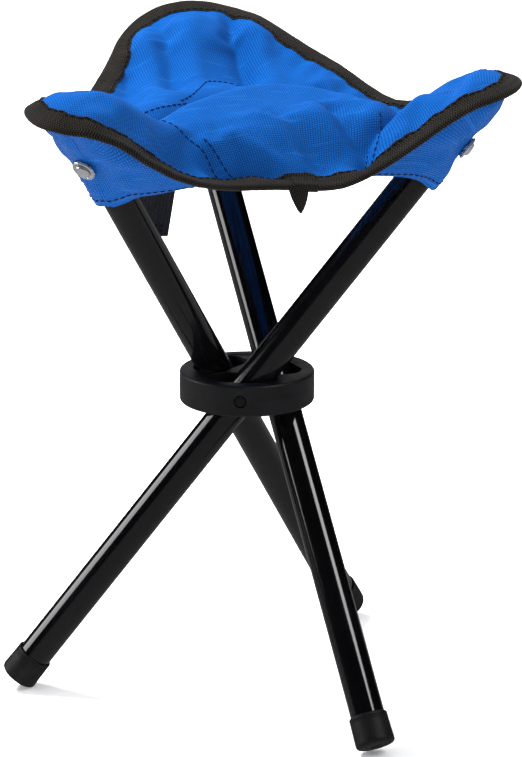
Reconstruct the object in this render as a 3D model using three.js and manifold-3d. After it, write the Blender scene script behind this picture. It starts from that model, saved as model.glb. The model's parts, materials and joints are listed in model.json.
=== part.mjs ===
// Folding tripod camp stool: three crossed tubes turn on pins in a round hub and carry a three-cornered
// cloth seat. Millimetres, +Z up. The stool stands open, with the back corner of its seat towards +Y.
import * as THREE from 'three';
import { mergeVertices } from 'three/addons/utils/BufferGeometryUtils.js';
import Module from 'manifold-3d';

const wasm = await Module();
wasm.setup();

// ---- Driving dimensions -------------------------------------------------------------------------
const GAP = 0.3; // clearance between pieces that touch
const LEAN = THREE.MathUtils.degToRad(37); // lean of an open leg from the vertical
const TUBE_RADIUS = 8;
const TUBE_WALL = 1;
const LEG_BELOW = 183; // pivot to the bottom of the foot cap, along the leg
const LEG_ABOVE = 185; // pivot to the top of the plug, along the leg
const PIVOT_RADIUS = 15.3; // hub axis to each leg's axis
const HUB_RADIUS = 32;
const HUB_HEIGHT = 15;
const HUB_EDGE = 1.3; // rounding of the hub's rim
const SLOT_WIDTH = 17;
const SLOT_LENGTH = 32.2;
const PIN_RADIUS = 2;
const PIN_INNER = 4.2; // inner end of a pin, from the hub axis
const CAP_LENGTH = 14.6;
const CAP_TOP_RADIUS = 8.9;
const CAP_BASE_RADIUS = 9.25;
const CAP_SOLE = 2.2; // thickness of rubber under the tube
const PLUG_FLANGE = 1.5;
const PLUG_DEPTH = 9;
const RIVET_AT = 157; // pivot to the rivet, along the leg
const RIVET_RADIUS = 1.8;
const RIVET_HEAD_RADIUS = 3.6;
const RIVET_HEAD_HEIGHT = 1.5;
const WASHER_RADIUS = 5.75;
const WASHER_THICKNESS = 0.8;

const SEAT_MIDDLE = 293; // height of the middle of the seat above the ground
const SEAT_DISH = 7; // fall from the middle to the seams across the corners
const DISH_RADIUS = 57;
const HUMP = 20.3; // rise of each corner over its leg
const HUMP_START = 50;
const HUMP_TOP = 108;
const TIP_START = 110; // where each tip begins to curl
const MARGIN_START = 50; // where the cloth between two corners starts to droop
const CLOTH = 1.4;
const TAPE_WIDTH = 8;
const TAPE_THICKNESS = 2.8;
const POCKET_CLOTH = 1.2;
const POCKET_SIDE = 82; // how far a pocket runs along each side, from the tip
const POCKET_MOUTH = 128; // pivot to the mouth of a pocket, along the leg
const POCKET_TOP = 188; // pivot to the pocket's closed end, along the leg
const STRAP_WIDTH = 16;
const STRAP_THICKNESS = 1.6;
const STRAP_LENGTH = 55;
const TAIL_WIDTH = 9;
const TAIL_LENGTH = 10;

const ROUND = 32; // sides of a tube
const FINE_ROUND = 20; // sides of small round pieces

// ---- Materials ----------------------------------------------------------------------------------
const looks = {
  blackPaint: { color: 0x0b0b0d, roughness: 0.22, metalness: 0.0 },
  blackPlastic: { color: 0x131318, roughness: 0.5, metalness: 0.0 },
  steel: { color: 0x9a9ba0, roughness: 0.3, metalness: 1.0 },
  chrome: { color: 0xd6d8dc, roughness: 0.12, metalness: 1.0 },
  blueCloth: { color: 0x1a62c8, roughness: 0.85, metalness: 0.0 },
  blackTape: { color: 0x17171b, roughness: 0.9, metalness: 0.0 },
};

// ---- Solids -------------------------------------------------------------------------------------
function toSolid(geometry) {
  const bare = geometry.clone();
  bare.deleteAttribute('normal');
  bare.deleteAttribute('uv');
  const merged = mergeVertices(bare, 1e-4);
  const mesh = { numProp: 3, vertProperties: merged.attributes.position.array, triVerts: merged.index.array };
  return new wasm.Manifold(new wasm.Mesh(mesh));
}

function toGeometry(manifold) {
  const mesh = manifold.getMesh();
  const geometry = new THREE.BufferGeometry();
  geometry.setAttribute('position', new THREE.BufferAttribute(new Float32Array(mesh.vertProperties), 3));
  geometry.setIndex(Array.from(mesh.triVerts));
  geometry.computeVertexNormals();
  return geometry;
}

function cut(body, ...tools) {
  let solid = toSolid(body);
  for (const tool of tools) solid = solid.subtract(toSolid(tool));
  return toGeometry(solid);
}

function join(...bodies) {
  let solid = toSolid(bodies[0]);
  for (const body of bodies.slice(1)) solid = solid.add(toSolid(body));
  return toGeometry(solid);
}

// A closed cylinder from one point to another.
function rod(from, to, radius, sides = FINE_ROUND) {
  const span = new THREE.Vector3().subVectors(to, from);
  const geometry = new THREE.CylinderGeometry(radius, radius, span.length(), sides);
  const turn = new THREE.Quaternion().setFromUnitVectors(new THREE.Vector3(0, 1, 0), span.clone().normalize());
  geometry.applyQuaternion(turn);
  geometry.translate((from.x + to.x) / 2, (from.y + to.y) / 2, (from.z + to.z) / 2);
  return geometry;
}

// A lathe about Z, from [radius, height] pairs that start and end on the axis or close on themselves.
function turned(profile, sides = ROUND) {
  const points = profile.map(([radius, height]) => new THREE.Vector2(radius, height));
  return new THREE.LatheGeometry(points, sides).rotateX(Math.PI / 2);
}

function meshGeometry(vertices, triangles) {
  const geometry = new THREE.BufferGeometry();
  const flat = vertices.flatMap((p) => [p.x, p.y, p.z]);
  geometry.setAttribute('position', new THREE.Float32BufferAttribute(flat, 3));
  geometry.setIndex(triangles.flat());
  geometry.computeVertexNormals();
  return geometry;
}

// The normal of a grid of points at one place, from its neighbours.
function gridNormal(rows, i, j, closed) {
  const last = rows.length - 1;
  const before = closed ? rows[(i + last) % (last + 1)] : rows[Math.max(i - 1, 0)];
  const after = closed ? rows[(i + 1) % (last + 1)] : rows[Math.min(i + 1, last)];
  const along = new THREE.Vector3().subVectors(after[j], before[j]);
  const right = rows[i][Math.min(j + 1, rows[i].length - 1)];
  const left = rows[i][Math.max(j - 1, 0)];
  const across = new THREE.Vector3().subVectors(right, left);
  return along.cross(across).normalize();
}

// A band of cloth with a thickness, from rows of points on its middle surface. A closed band is a loop.
function band(rows, thickness, closed = false) {
  const count = rows.length;
  const width = rows[0].length;
  const vertices = [];
  for (const side of [1, -1]) {
    for (let i = 0; i < count; i++) {
      for (let j = 0; j < width; j++) {
        const offset = gridNormal(rows, i, j, closed).multiplyScalar((side * thickness) / 2);
        vertices.push(rows[i][j].clone().add(offset));
      }
    }
  }
  const at = (side, i, j) => side * count * width + (i % count) * width + j;
  const triangles = [];
  const quad = (a, b, c, d) => triangles.push([a, b, c], [a, c, d]);
  const steps = closed ? count : count - 1;
  for (let i = 0; i < steps; i++) {
    for (let j = 0; j < width - 1; j++) {
      quad(at(0, i, j), at(0, i + 1, j), at(0, i + 1, j + 1), at(0, i, j + 1));
      quad(at(1, i, j), at(1, i, j + 1), at(1, i + 1, j + 1), at(1, i + 1, j));
    }
    quad(at(0, i, 0), at(1, i, 0), at(1, i + 1, 0), at(0, i + 1, 0));
    quad(at(0, i + 1, width - 1), at(1, i + 1, width - 1), at(1, i, width - 1), at(0, i, width - 1));
  }
  if (!closed) {
    for (let j = 0; j < width - 1; j++) {
      quad(at(0, 0, j), at(0, 0, j + 1), at(1, 0, j + 1), at(1, 0, j));
      quad(at(0, count - 1, j + 1), at(0, count - 1, j), at(1, count - 1, j), at(1, count - 1, j + 1));
    }
  }
  return meshGeometry(vertices, triangles);
}

// ---- Where the three legs stand -------------------------------------------------------------------
const UP = new THREE.Vector3(0, 0, 1);
const GROUND_TO_PIVOT = (LEG_BELOW * Math.cos(LEAN)) + (CAP_BASE_RADIUS - 0.55) * Math.sin(LEAN);
const CORNER_AHEAD = Math.atan2(LEG_ABOVE * Math.sin(LEAN), PIVOT_RADIUS); // pivot to seat corner, in plan

function polar(angle, radius = 1, height = 0) {
  return new THREE.Vector3(Math.cos(angle) * radius, Math.sin(angle) * radius, height);
}

// The seat's corner is round, with that radius and its tip at reach from the hub axis. width is how far its
// rise over the leg spreads, and curl bends the tip up or down. fall and bow shape the side facing the corner.
function makeCorner(name, degrees, seat) {
  const angle = THREE.MathUtils.degToRad(degrees);
  const radial = polar(angle - CORNER_AHEAD);
  const tangent = new THREE.Vector3().crossVectors(UP, radial);
  const along = UP.clone().multiplyScalar(Math.cos(LEAN)).addScaledVector(tangent, Math.sin(LEAN));
  const outer = tangent.clone().multiplyScalar(Math.cos(LEAN)).addScaledVector(UP, -Math.sin(LEAN));
  const side = radial.clone().negate();
  const pivot = radial.clone().multiplyScalar(PIVOT_RADIUS).setZ(GROUND_TO_PIVOT);
  const centre = polar(angle, seat.reach - seat.radius);
  return { name, angle, radial, along, outer, side, pivot, centre, ...seat };
}

const corners = [
  makeCorner('right', -30, { reach: 128, radius: 27, width: 38, curl: -0.012, fall: 0.006, bow: 0 }),
  makeCorner('back', 90, { reach: 130, radius: 38, width: 62, curl: 0.012, fall: 0.043, bow: 5 }),
  makeCorner('left', 210, { reach: 129, radius: 30, width: 38, curl: -0.03, fall: 0, bow: -3 }),
];

// ---- Shape of the seat ----------------------------------------------------------------------------
function smooth(x) {
  const t = THREE.MathUtils.clamp(x, 0, 1);
  return t * t * (3 - 2 * t);
}

// Height of the cloth: a flat middle, a rise over each leg, and a droop between the corners.
function seatHeight(x, y) {
  const radius = Math.hypot(x, y);
  let height = SEAT_MIDDLE - SEAT_DISH * Math.min(1, (radius / DISH_RADIUS) ** 2);
  for (const { angle, width, curl, fall } of corners) {
    const out = x * Math.cos(angle) + y * Math.sin(angle);
    const across = y * Math.cos(angle) - x * Math.sin(angle);
    const rise = smooth((out - HUMP_START) / (HUMP_TOP - HUMP_START));
    height += HUMP * rise * Math.exp(-((across / width) ** 2));
    height += curl * Math.max(0, out - TIP_START) ** 2;
    const margin = Math.max(0, -out - MARGIN_START);
    const ease = 1 - 0.9 * smooth(Math.abs(across) / 95);
    height -= fall * margin ** 2 * ease;
  }
  return height;
}

// The outward bearing of the straight side that runs counterclockwise from one round corner to the next.
function sideBearing(from, to) {
  const run = to.centre.clone().sub(from.centre);
  return Math.atan2(run.y, run.x) - Math.PI / 2 + Math.asin((from.radius - to.radius) / run.length());
}

const after = (corner) => corners[(corners.indexOf(corner) + 1) % corners.length];
const before = (corner) => corners[(corners.indexOf(corner) + 2) % corners.length];

// One side's plan: its two ends, its outward bearing, and how far it is drawn in at a share of its run.
function side(from) {
  const to = after(from);
  const bearing = sideBearing(from, to);
  const start = from.centre.clone().add(polar(bearing, from.radius));
  const end = to.centre.clone().add(polar(bearing, to.radius));
  const drawn = (share) => before(from).bow * Math.sin(Math.PI * share) ** 2;
  return { start, end, bearing, drawn };
}

function turnBetween(start, end) {
  return THREE.MathUtils.euclideanModulo(end - start, 2 * Math.PI);
}

// The seat's outline in plan as [point, inward direction] pairs, counterclockwise from the right corner.
function seatOutline(arcSteps, sideSteps) {
  const outline = [];
  for (const corner of corners) {
    const first = side(before(corner)).bearing;
    const { start, end, bearing, drawn } = side(corner);
    for (let i = 0; i < arcSteps; i++) {
      const turn = first + (turnBetween(first, bearing) * i) / arcSteps;
      outline.push([corner.centre.clone().add(polar(turn, corner.radius)), polar(turn + Math.PI)]);
    }
    const inward = polar(bearing + Math.PI);
    for (let i = 0; i < sideSteps; i++) {
      const share = i / sideSteps;
      outline.push([start.clone().lerp(end, share).addScaledVector(inward, drawn(share)), inward]);
    }
  }
  return outline;
}

// A point on the seat, a distance in from the outline and a depth below the surface.
function seatPoint([point, inward], inset, depth = 0) {
  const place = point.clone().addScaledVector(inward, inset);
  place.z = seatHeight(place.x, place.y) - depth;
  return place;
}

// ---- Pieces of the seat ---------------------------------------------------------------------------
function seatPanel() {
  const outline = seatOutline(8, 10);
  const rings = 9;
  const around = outline.length;
  const edge = outline.map((place) => seatPoint(place, TAPE_WIDTH + 4 * GAP));
  const vertices = [];
  for (const depth of [-CLOTH / 2, CLOTH / 2]) {
    vertices.push(new THREE.Vector3(0, 0, seatHeight(0, 0) - depth));
    for (let ring = 1; ring <= rings; ring++) {
      for (const rim of edge) {
        const x = (rim.x * ring) / rings;
        const y = (rim.y * ring) / rings;
        vertices.push(new THREE.Vector3(x, y, seatHeight(x, y) - depth));
      }
    }
  }
  const layer = 1 + rings * around;
  const at = (side, ring, i) => side * layer + 1 + (ring - 1) * around + (i % around);
  const triangles = [];
  for (let i = 0; i < around; i++) {
    triangles.push([0, at(0, 1, i), at(0, 1, i + 1)]);
    triangles.push([layer, at(1, 1, i + 1), at(1, 1, i)]);
    for (let ring = 1; ring < rings; ring++) {
      const [a, b] = [at(0, ring, i), at(0, ring + 1, i)];
      const [c, d] = [at(0, ring + 1, i + 1), at(0, ring, i + 1)];
      triangles.push([a, b, c], [a, c, d]);
      triangles.push([a + layer, c + layer, b + layer], [a + layer, d + layer, c + layer]);
    }
    const [a, b] = [at(0, rings, i), at(0, rings, i + 1)];
    triangles.push([a, a + layer, b + layer], [a, b + layer, b]);
  }
  return meshGeometry(vertices, triangles);
}

// The tape folded round the seat's edge, with the loose end of its overlap hanging in front.
function edgeBinding() {
  const rows = seatOutline(8, 10).map((place) => [
    seatPoint(place, TAPE_WIDTH),
    seatPoint(place, TAPE_WIDTH / 2),
    seatPoint(place, 0),
  ]);
  return join(band(rows, TAPE_THICKNESS, true), tapeEnd());
}

function tapeEnd() {
  const x = 3.5;
  const front = side(corners[2]);
  const y = front.start.clone().lerp(front.end, 0.5).y + front.drawn(0.5) + 1;
  const top = seatHeight(x, y);
  const shape = new THREE.Shape();
  shape.moveTo(-TAIL_WIDTH / 2, 1);
  shape.lineTo(-TAIL_WIDTH / 2, -2);
  shape.quadraticCurveTo(-TAIL_WIDTH / 4, -TAIL_LENGTH * 0.75, 0, -TAIL_LENGTH);
  shape.quadraticCurveTo(TAIL_WIDTH / 3, -TAIL_LENGTH * 0.6, TAIL_WIDTH / 2, -2);
  shape.lineTo(TAIL_WIDTH / 2, 1);
  const leaf = new THREE.ExtrudeGeometry(shape, { depth: CLOTH, bevelEnabled: false, curveSegments: 5 });
  return leaf.rotateX(Math.PI / 2).translate(x, y, top);
}

// The outline walked from one corner's tip, by a distance, counterclockwise (1) or clockwise (-1).
function alongSide(corner, distance, direction) {
  const run = side(direction > 0 ? corner : before(corner));
  const turned = turnBetween(0, direction * (run.bearing - corner.angle));
  const arc = corner.radius * turned;
  const turn = corner.angle + (direction * Math.min(distance, arc)) / corner.radius;
  const inward = polar(turn + Math.PI);
  if (distance <= arc) return [corner.centre.clone().add(polar(turn, corner.radius)), inward];
  const [near, far] = direction > 0 ? [run.start, run.end] : [run.end, run.start];
  const share = (distance - arc) / near.distanceTo(far);
  return [near.clone().lerp(far, share).addScaledVector(inward, run.drawn(share)), inward];
}

// A pocket hugs the outer side of its tube and rises to the tape on both sides.
function cornerPocket(corner) {
  const inset = 6;
  const depth = TAPE_THICKNESS / 2 + 3 * GAP + POCKET_CLOTH;
  const hug = TUBE_RADIUS + GAP + 0.2 + POCKET_CLOTH / 2;
  const steps = 12;
  const rows = [];
  for (let i = 0; i <= steps; i++) {
    const t = i / steps;
    const along = THREE.MathUtils.lerp(POCKET_TOP, POCKET_MOUTH, t);
    const middle = corner.pivot.clone().addScaledVector(corner.along, along);
    const half = (direction) => {
      const edge = seatPoint(alongSide(corner, 4 + t * (POCKET_SIDE - 4), direction), inset, depth);
      const reach = edge.clone().sub(middle);
      const out = reach.dot(corner.outer);
      const across = reach.dot(corner.side);
      const bearing = Math.atan2(Math.abs(across), out);
      const apart = Math.acos(Math.min(1, hug / Math.hypot(out, across)));
      const touch = THREE.MathUtils.clamp(bearing - apart, 0.5, 1.4);
      const on = (share) => middle.clone()
        .addScaledVector(corner.outer, hug * Math.cos(touch * share))
        .addScaledVector(corner.side, hug * Math.sin(touch * share) * Math.sign(across));
      return [edge, edge.clone().lerp(on(1), 0.5), on(1), on(0.5)];
    };
    const keel = middle.clone().addScaledVector(corner.outer, hug);
    rows.push([...half(1), keel, ...half(-1).reverse()]);
  }
  const hole = legPlace(corner, rod(new THREE.Vector3(6, 0, RIVET_AT), new THREE.Vector3(14, 0, RIVET_AT), 2.1));
  return cut(band(rows, POCKET_CLOTH), hole);
}

// The webbing strap that ties the folded legs hangs from the left pocket's seam.
function storageStrap() {
  const right = polar(THREE.MathUtils.degToRad(-16.5));
  const ahead = polar(THREE.MathUtils.degToRad(73.5));
  const rows = [];
  const steps = 8;
  for (let i = 0; i <= steps; i++) {
    const t = i / steps;
    const middle = right.clone().multiplyScalar(-38.5 - 7 * t);
    middle.addScaledVector(ahead, -19 + 3 * Math.sin(Math.PI * t));
    middle.z = 282.5 - STRAP_LENGTH * t;
    rows.push([-0.5, 0.5].map((share) => middle.clone().addScaledVector(right, share * STRAP_WIDTH)));
  }
  return band(rows, STRAP_THICKNESS);
}

// ---- Pieces of the frame --------------------------------------------------------------------------
// A ring with a round rim, cut by three slots for the legs and three bores for their pins.
function hub() {
  const half = HUB_HEIGHT / 2;
  const profile = [[0, -half]];
  for (let i = 0; i <= 4; i++) {
    const turn = (Math.PI / 2) * (i / 4);
    const reach = HUB_RADIUS - HUB_EDGE;
    profile.push([reach + HUB_EDGE * Math.sin(turn), -half + HUB_EDGE * (1 - Math.cos(turn))]);
  }
  for (let i = 0; i <= 4; i++) {
    const turn = (Math.PI / 2) * (i / 4);
    const reach = HUB_RADIUS - HUB_EDGE;
    profile.push([reach + HUB_EDGE * Math.cos(turn), half - HUB_EDGE * (1 - Math.sin(turn))]);
  }
  profile.push([0, half]);
  const tools = [];
  for (const corner of corners) {
    tools.push(legSlot(corner));
    const inner = corner.radial.clone().multiplyScalar(PIN_INNER - GAP);
    const outer = corner.radial.clone().multiplyScalar(HUB_RADIUS + 1);
    tools.push(rod(inner, outer, PIN_RADIUS + GAP));
  }
  return cut(turned(profile, 72), ...tools).translate(0, 0, GROUND_TO_PIVOT);
}

function legSlot(corner) {
  const shape = new THREE.Shape();
  const round = SLOT_WIDTH / 2;
  const straight = SLOT_LENGTH / 2 - round;
  shape.absarc(0, straight, round, 0, Math.PI);
  shape.absarc(0, -straight, round, Math.PI, 2 * Math.PI);
  const slot = new THREE.ExtrudeGeometry(shape, { depth: HUB_HEIGHT + 2, bevelEnabled: false, curveSegments: 12 });
  slot.translate(PIVOT_RADIUS, 0, -HUB_HEIGHT / 2 - 1);
  return slot.rotateZ(Math.atan2(corner.radial.y, corner.radial.x));
}

function pivotPin(corner) {
  const from = corner.radial.clone().multiplyScalar(PIN_INNER).setZ(GROUND_TO_PIVOT);
  const to = corner.radial.clone().multiplyScalar(HUB_RADIUS - 0.6).setZ(GROUND_TO_PIVOT);
  return rod(from, to, PIN_RADIUS);
}

// A leg's own frame has its pivot at the origin, Z up the tube and X to the outer side.
function legTube() {
  const bottom = new THREE.Vector3(0, 0, -LEG_BELOW + CAP_SOLE + GAP);
  const top = new THREE.Vector3(0, 0, LEG_ABOVE - PLUG_FLANGE - GAP);
  const far = new THREE.Vector3(0, 0, 10);
  const bore = rod(bottom.clone().sub(far), top.clone().add(far), TUBE_RADIUS - TUBE_WALL, ROUND);
  const pin = rod(new THREE.Vector3(0, -12, 0), new THREE.Vector3(0, 12, 0), PIN_RADIUS + GAP);
  const rivet = rod(new THREE.Vector3(2, 0, RIVET_AT), new THREE.Vector3(12, 0, RIVET_AT), RIVET_RADIUS + GAP);
  return cut(rod(bottom, top, TUBE_RADIUS, ROUND), bore, pin, rivet);
}

// A slip-on foot: a flared cup with a bead at its rim and a rounded sole.
function footCap() {
  const sole = -LEG_BELOW;
  const rim = sole + CAP_LENGTH;
  const inside = TUBE_RADIUS + GAP;
  return turned([
    [0, sole],
    [CAP_BASE_RADIUS - 1.6, sole],
    [CAP_BASE_RADIUS - 0.5, sole + 0.5],
    [CAP_BASE_RADIUS, sole + 1.6],
    [CAP_TOP_RADIUS + 0.05, rim - 2],
    [CAP_TOP_RADIUS - 0.15, rim - 1.5],
    [CAP_TOP_RADIUS, rim - 0.8],
    [CAP_TOP_RADIUS - 0.2, rim],
    [inside, rim],
    [inside, sole + CAP_SOLE],
    [0, sole + CAP_SOLE],
  ]);
}

function topPlug() {
  const shank = TUBE_RADIUS - TUBE_WALL - GAP;
  return turned([
    [0, LEG_ABOVE - PLUG_FLANGE - PLUG_DEPTH],
    [shank - 1, LEG_ABOVE - PLUG_FLANGE - PLUG_DEPTH],
    [shank, LEG_ABOVE - PLUG_FLANGE - PLUG_DEPTH + 1.5],
    [shank, LEG_ABOVE - PLUG_FLANGE],
    [TUBE_RADIUS, LEG_ABOVE - PLUG_FLANGE],
    [TUBE_RADIUS - 0.6, LEG_ABOVE - 0.5],
    [TUBE_RADIUS - 2, LEG_ABOVE],
    [0, LEG_ABOVE],
  ]);
}

// Places a lathe made about Z on the rivet's line, facing outwards from the tube.
function onRivetLine(geometry) {
  return geometry.rotateY(Math.PI / 2).translate(0, 0, RIVET_AT);
}

function seatRivet() {
  const under = TUBE_RADIUS + 3 * GAP + 0.2 + POCKET_CLOTH + WASHER_THICKNESS;
  return onRivetLine(turned([
    [0, TUBE_RADIUS - TUBE_WALL - 1.5],
    [RIVET_RADIUS, TUBE_RADIUS - TUBE_WALL - 1.5],
    [RIVET_RADIUS, under],
    [RIVET_HEAD_RADIUS, under],
    [RIVET_HEAD_RADIUS * 0.94, under + RIVET_HEAD_HEIGHT * 0.5],
    [RIVET_HEAD_RADIUS * 0.6, under + RIVET_HEAD_HEIGHT * 0.9],
    [0, under + RIVET_HEAD_HEIGHT],
  ], FINE_ROUND));
}

function rivetWasher() {
  const under = TUBE_RADIUS + 2 * GAP + 0.2 + POCKET_CLOTH;
  const hole = RIVET_RADIUS + GAP;
  return onRivetLine(turned([
    [hole, under],
    [WASHER_RADIUS, under],
    [WASHER_RADIUS - 0.3, under + WASHER_THICKNESS * 0.7],
    [WASHER_RADIUS - 1, under + WASHER_THICKNESS],
    [hole, under + WASHER_THICKNESS],
    [hole, under],
  ], FINE_ROUND));
}

// ---- The stool ------------------------------------------------------------------------------------
function legMatrix(corner) {
  const matrix = new THREE.Matrix4().makeBasis(corner.outer, corner.side, corner.along);
  return matrix.setPosition(corner.pivot);
}

function legPlace(corner, geometry) {
  return geometry.applyMatrix4(legMatrix(corner));
}

function piece(name, geometry, look) {
  const mesh = new THREE.Mesh(geometry, new THREE.MeshStandardMaterial(looks[look]));
  mesh.name = name;
  return mesh;
}

function leg(corner) {
  const group = new THREE.Group();
  group.applyMatrix4(legMatrix(corner));
  group.add(
    piece(`leg_tube_${corner.name}`, legTube(), 'blackPaint'),
    piece(`foot_cap_${corner.name}`, footCap(), 'blackPlastic'),
    piece(`top_plug_${corner.name}`, topPlug(), 'blackPlastic'),
    piece(`seat_rivet_${corner.name}`, seatRivet(), 'chrome'),
    piece(`rivet_washer_${corner.name}`, rivetWasher(), 'chrome'),
  );
  return group;
}

const stool = new THREE.Group();
stool.add(piece('hub', hub(), 'blackPlastic'));
for (const corner of corners) {
  stool.add(leg(corner));
  stool.add(piece(`pivot_pin_${corner.name}`, pivotPin(corner), 'steel'));
  stool.add(piece(`corner_pocket_${corner.name}`, cornerPocket(corner), 'blueCloth'));
}
stool.add(piece('seat_panel', seatPanel(), 'blueCloth'));
stool.add(piece('edge_binding', edgeBinding(), 'blackTape'));
stool.add(piece('storage_strap', storageStrap(), 'blackTape'));

// The origin is the bottom centre of the whole stool's box.
stool.updateMatrixWorld(true);
const box = new THREE.Box3().setFromObject(stool, true);
stool.position.set(-(box.min.x + box.max.x) / 2, -(box.min.y + box.max.y) / 2, -box.min.z);

export default stool;
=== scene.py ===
import json
import math

import bmesh
import bpy
import numpy as np
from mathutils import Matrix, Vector

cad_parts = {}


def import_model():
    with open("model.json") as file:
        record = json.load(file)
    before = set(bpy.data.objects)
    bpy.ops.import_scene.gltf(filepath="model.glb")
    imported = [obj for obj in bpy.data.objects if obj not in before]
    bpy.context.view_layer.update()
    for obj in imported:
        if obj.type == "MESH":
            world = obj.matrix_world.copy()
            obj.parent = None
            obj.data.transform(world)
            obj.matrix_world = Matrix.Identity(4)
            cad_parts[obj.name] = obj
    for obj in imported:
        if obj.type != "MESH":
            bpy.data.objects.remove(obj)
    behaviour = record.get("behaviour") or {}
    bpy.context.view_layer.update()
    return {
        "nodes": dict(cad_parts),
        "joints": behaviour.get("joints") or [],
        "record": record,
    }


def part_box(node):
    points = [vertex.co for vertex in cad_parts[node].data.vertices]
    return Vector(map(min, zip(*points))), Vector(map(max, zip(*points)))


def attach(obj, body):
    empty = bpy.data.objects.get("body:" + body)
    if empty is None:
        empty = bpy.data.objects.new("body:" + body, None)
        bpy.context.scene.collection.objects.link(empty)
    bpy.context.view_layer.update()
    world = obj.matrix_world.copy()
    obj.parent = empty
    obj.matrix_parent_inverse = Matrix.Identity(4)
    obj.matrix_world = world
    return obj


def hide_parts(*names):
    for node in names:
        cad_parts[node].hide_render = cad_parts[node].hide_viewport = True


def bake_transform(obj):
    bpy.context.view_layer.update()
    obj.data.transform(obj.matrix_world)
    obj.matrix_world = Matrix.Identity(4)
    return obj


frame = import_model()

# The camp stool's visible surfaces, in metres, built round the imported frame: three enamelled tubes with
# their caps and rivets, the moulded hub, and the sewn seat with its tape, corner pockets and strap.
MM = 0.001
record = frame["record"]
joints = {joint["name"]: joint for joint in frame["joints"]}
mounts = {mount["name"]: mount for mount in record["mounts"]}

# ---- Sizes of the cloth and its sewing ---------------------------------------------------------------
SEAT_RISE = 141.6 * MM  # from the middle of the hub to the middle of the seat
SEAT_DISH = 7 * MM  # how far the cloth sinks from its middle to DISH_RADIUS
DISH_RADIUS = 57 * MM
HUMP = 20.3 * MM  # the rise over each leg, from HUMP_START out to HUMP_TOP
HUMP_START = 50 * MM
HUMP_TOP = 108 * MM
TIP_START = 110 * MM  # where a corner's tip starts to curl
DROP_START = 38 * MM  # a side's droop grows from here out to DROP_END
DROP_END = 74 * MM
CLOTH = 0.9 * MM  # thickness
TAPE_WIDTH = 10.5 * MM
POCKET_SIDE = 90 * MM  # how far a pocket runs along each side, from the tip
POCKET_MOUTH = 133.5 * MM  # pivot to the pocket's mouth, along the leg
POCKET_TOP = 188 * MM  # pivot to the pocket's closed end, along the leg
STRAP_WIDTH = 16 * MM
STRAP_THICKNESS = 1.4 * MM
THREAD = 0.27 * MM  # its radius
STITCH = 2.7 * MM
STITCH_GAP = 0.6 * MM
WEAVE_PITCH = 1.15 * MM  # width of one thread of the weave

# ---- Sizes of the pins and their holes ---------------------------------------------------------------
PIN_RADIUS = 2 * MM
PIN_HOLE = 2.3 * MM
PIN_HEAD = 2.85 * MM

# ---- Camera: the photograph's viewing angle, round a point on the hub's axis -------------------------
CAMERA_AZIMUTH = -16.45
CAMERA_ELEVATION = 15.78
CAMERA_DISTANCE = 1.5658
CAMERA_AIM = 154.2 * MM  # height of that point
LENS = 157.04
SHIFT = (0.0185, -0.002)


# ---- Points of the frame -----------------------------------------------------------------------------
def node_points(node):
    """The vertices of a CAD node."""
    vertices = frame["nodes"][node].data.vertices
    points = np.zeros(len(vertices) * 3)
    vertices.foreach_get("co", points)
    return points.reshape(-1, 3)


def unit(vectors):
    return vectors / np.linalg.norm(vectors, axis=-1, keepdims=True)


def smooth(x):
    t = np.clip(x, 0, 1)
    return t * t * (3 - 2 * t)


def run_along(points):
    """The distance along a line of points, up to each of them."""
    return np.concatenate([[0], np.cumsum(np.linalg.norm(np.diff(points, axis=0), axis=1))])


def frame_matrix(x, y, z, origin):
    """The matrix of a frame with these axes and origin."""
    return np.vstack([np.column_stack([x, y, z, origin]), [0, 0, 0, 1]])


HUB_LOW, HUB_HIGH = (np.array(corner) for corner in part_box("hub"))
HUB = (HUB_LOW + HUB_HIGH) / 2
HUB_RADIUS = (HUB_HIGH[0] - HUB_LOW[0]) / 2
HUB_HEIGHT = HUB_HIGH[2] - HUB_LOW[2]


class Corner:
    """A leg and the seat's corner over it. The leg's own frame has its pivot at the origin, Z up the tube and
    X to the outer side. The seat's corner is round: its tip is at reach from the hub's axis. In its cloth,
    width is how far the rise over the leg spreads, curl bends the tip, drop lowers the opposite side of the
    seat, and bow draws in the edge opposite."""

    def __init__(self, name, reach, radius, width, curl, drop, bow):
        joint = joints["fold_" + name]
        self.name = name
        self.body = "leg_" + name
        self.pivot = np.array(joint["pos_m"])
        self.side = -np.array(joint["axis"])
        self.along = -np.array(mounts["foot_" + name]["axis"])
        self.outer = np.cross(self.side, self.along)
        top = self.pivot + self.along * self.extent("top_plug", self.along)[1] - HUB
        self.angle = math.atan2(top[1], top[0])
        self.ahead = np.array([math.cos(self.angle), math.sin(self.angle)])
        self.across = np.array([-math.sin(self.angle), math.cos(self.angle)])
        self.reach = reach * MM
        self.radius = radius * MM
        self.width = width * MM
        self.curl = curl / MM
        self.drop = drop * MM
        self.bow = bow * MM
        self.centre = self.ahead * (self.reach - self.radius)

    def extent(self, part, direction):
        """How far one of the leg's CAD pieces reaches from the pivot, both ways along a direction."""
        reach = (node_points(f"{part}_{self.name}") - self.pivot) @ direction
        return reach.min(), reach.max()

    def matrix(self):
        """The leg's own frame."""
        return frame_matrix(self.outer, self.side, self.along, self.pivot)


corners = [
    Corner("right", reach=128, radius=27, width=38, curl=-0.012, drop=3, bow=0),
    Corner("back", reach=130, radius=38, width=62, curl=0.012, drop=22.7, bow=5),
    Corner("left", reach=129, radius=30, width=38, curl=-0.03, drop=0, bow=-3),
]


def after(corner):
    """The next corner counterclockwise."""
    return corners[(corners.index(corner) + 1) % 3]


def before(corner):
    """The next corner clockwise."""
    return corners[(corners.index(corner) + 2) % 3]


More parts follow.
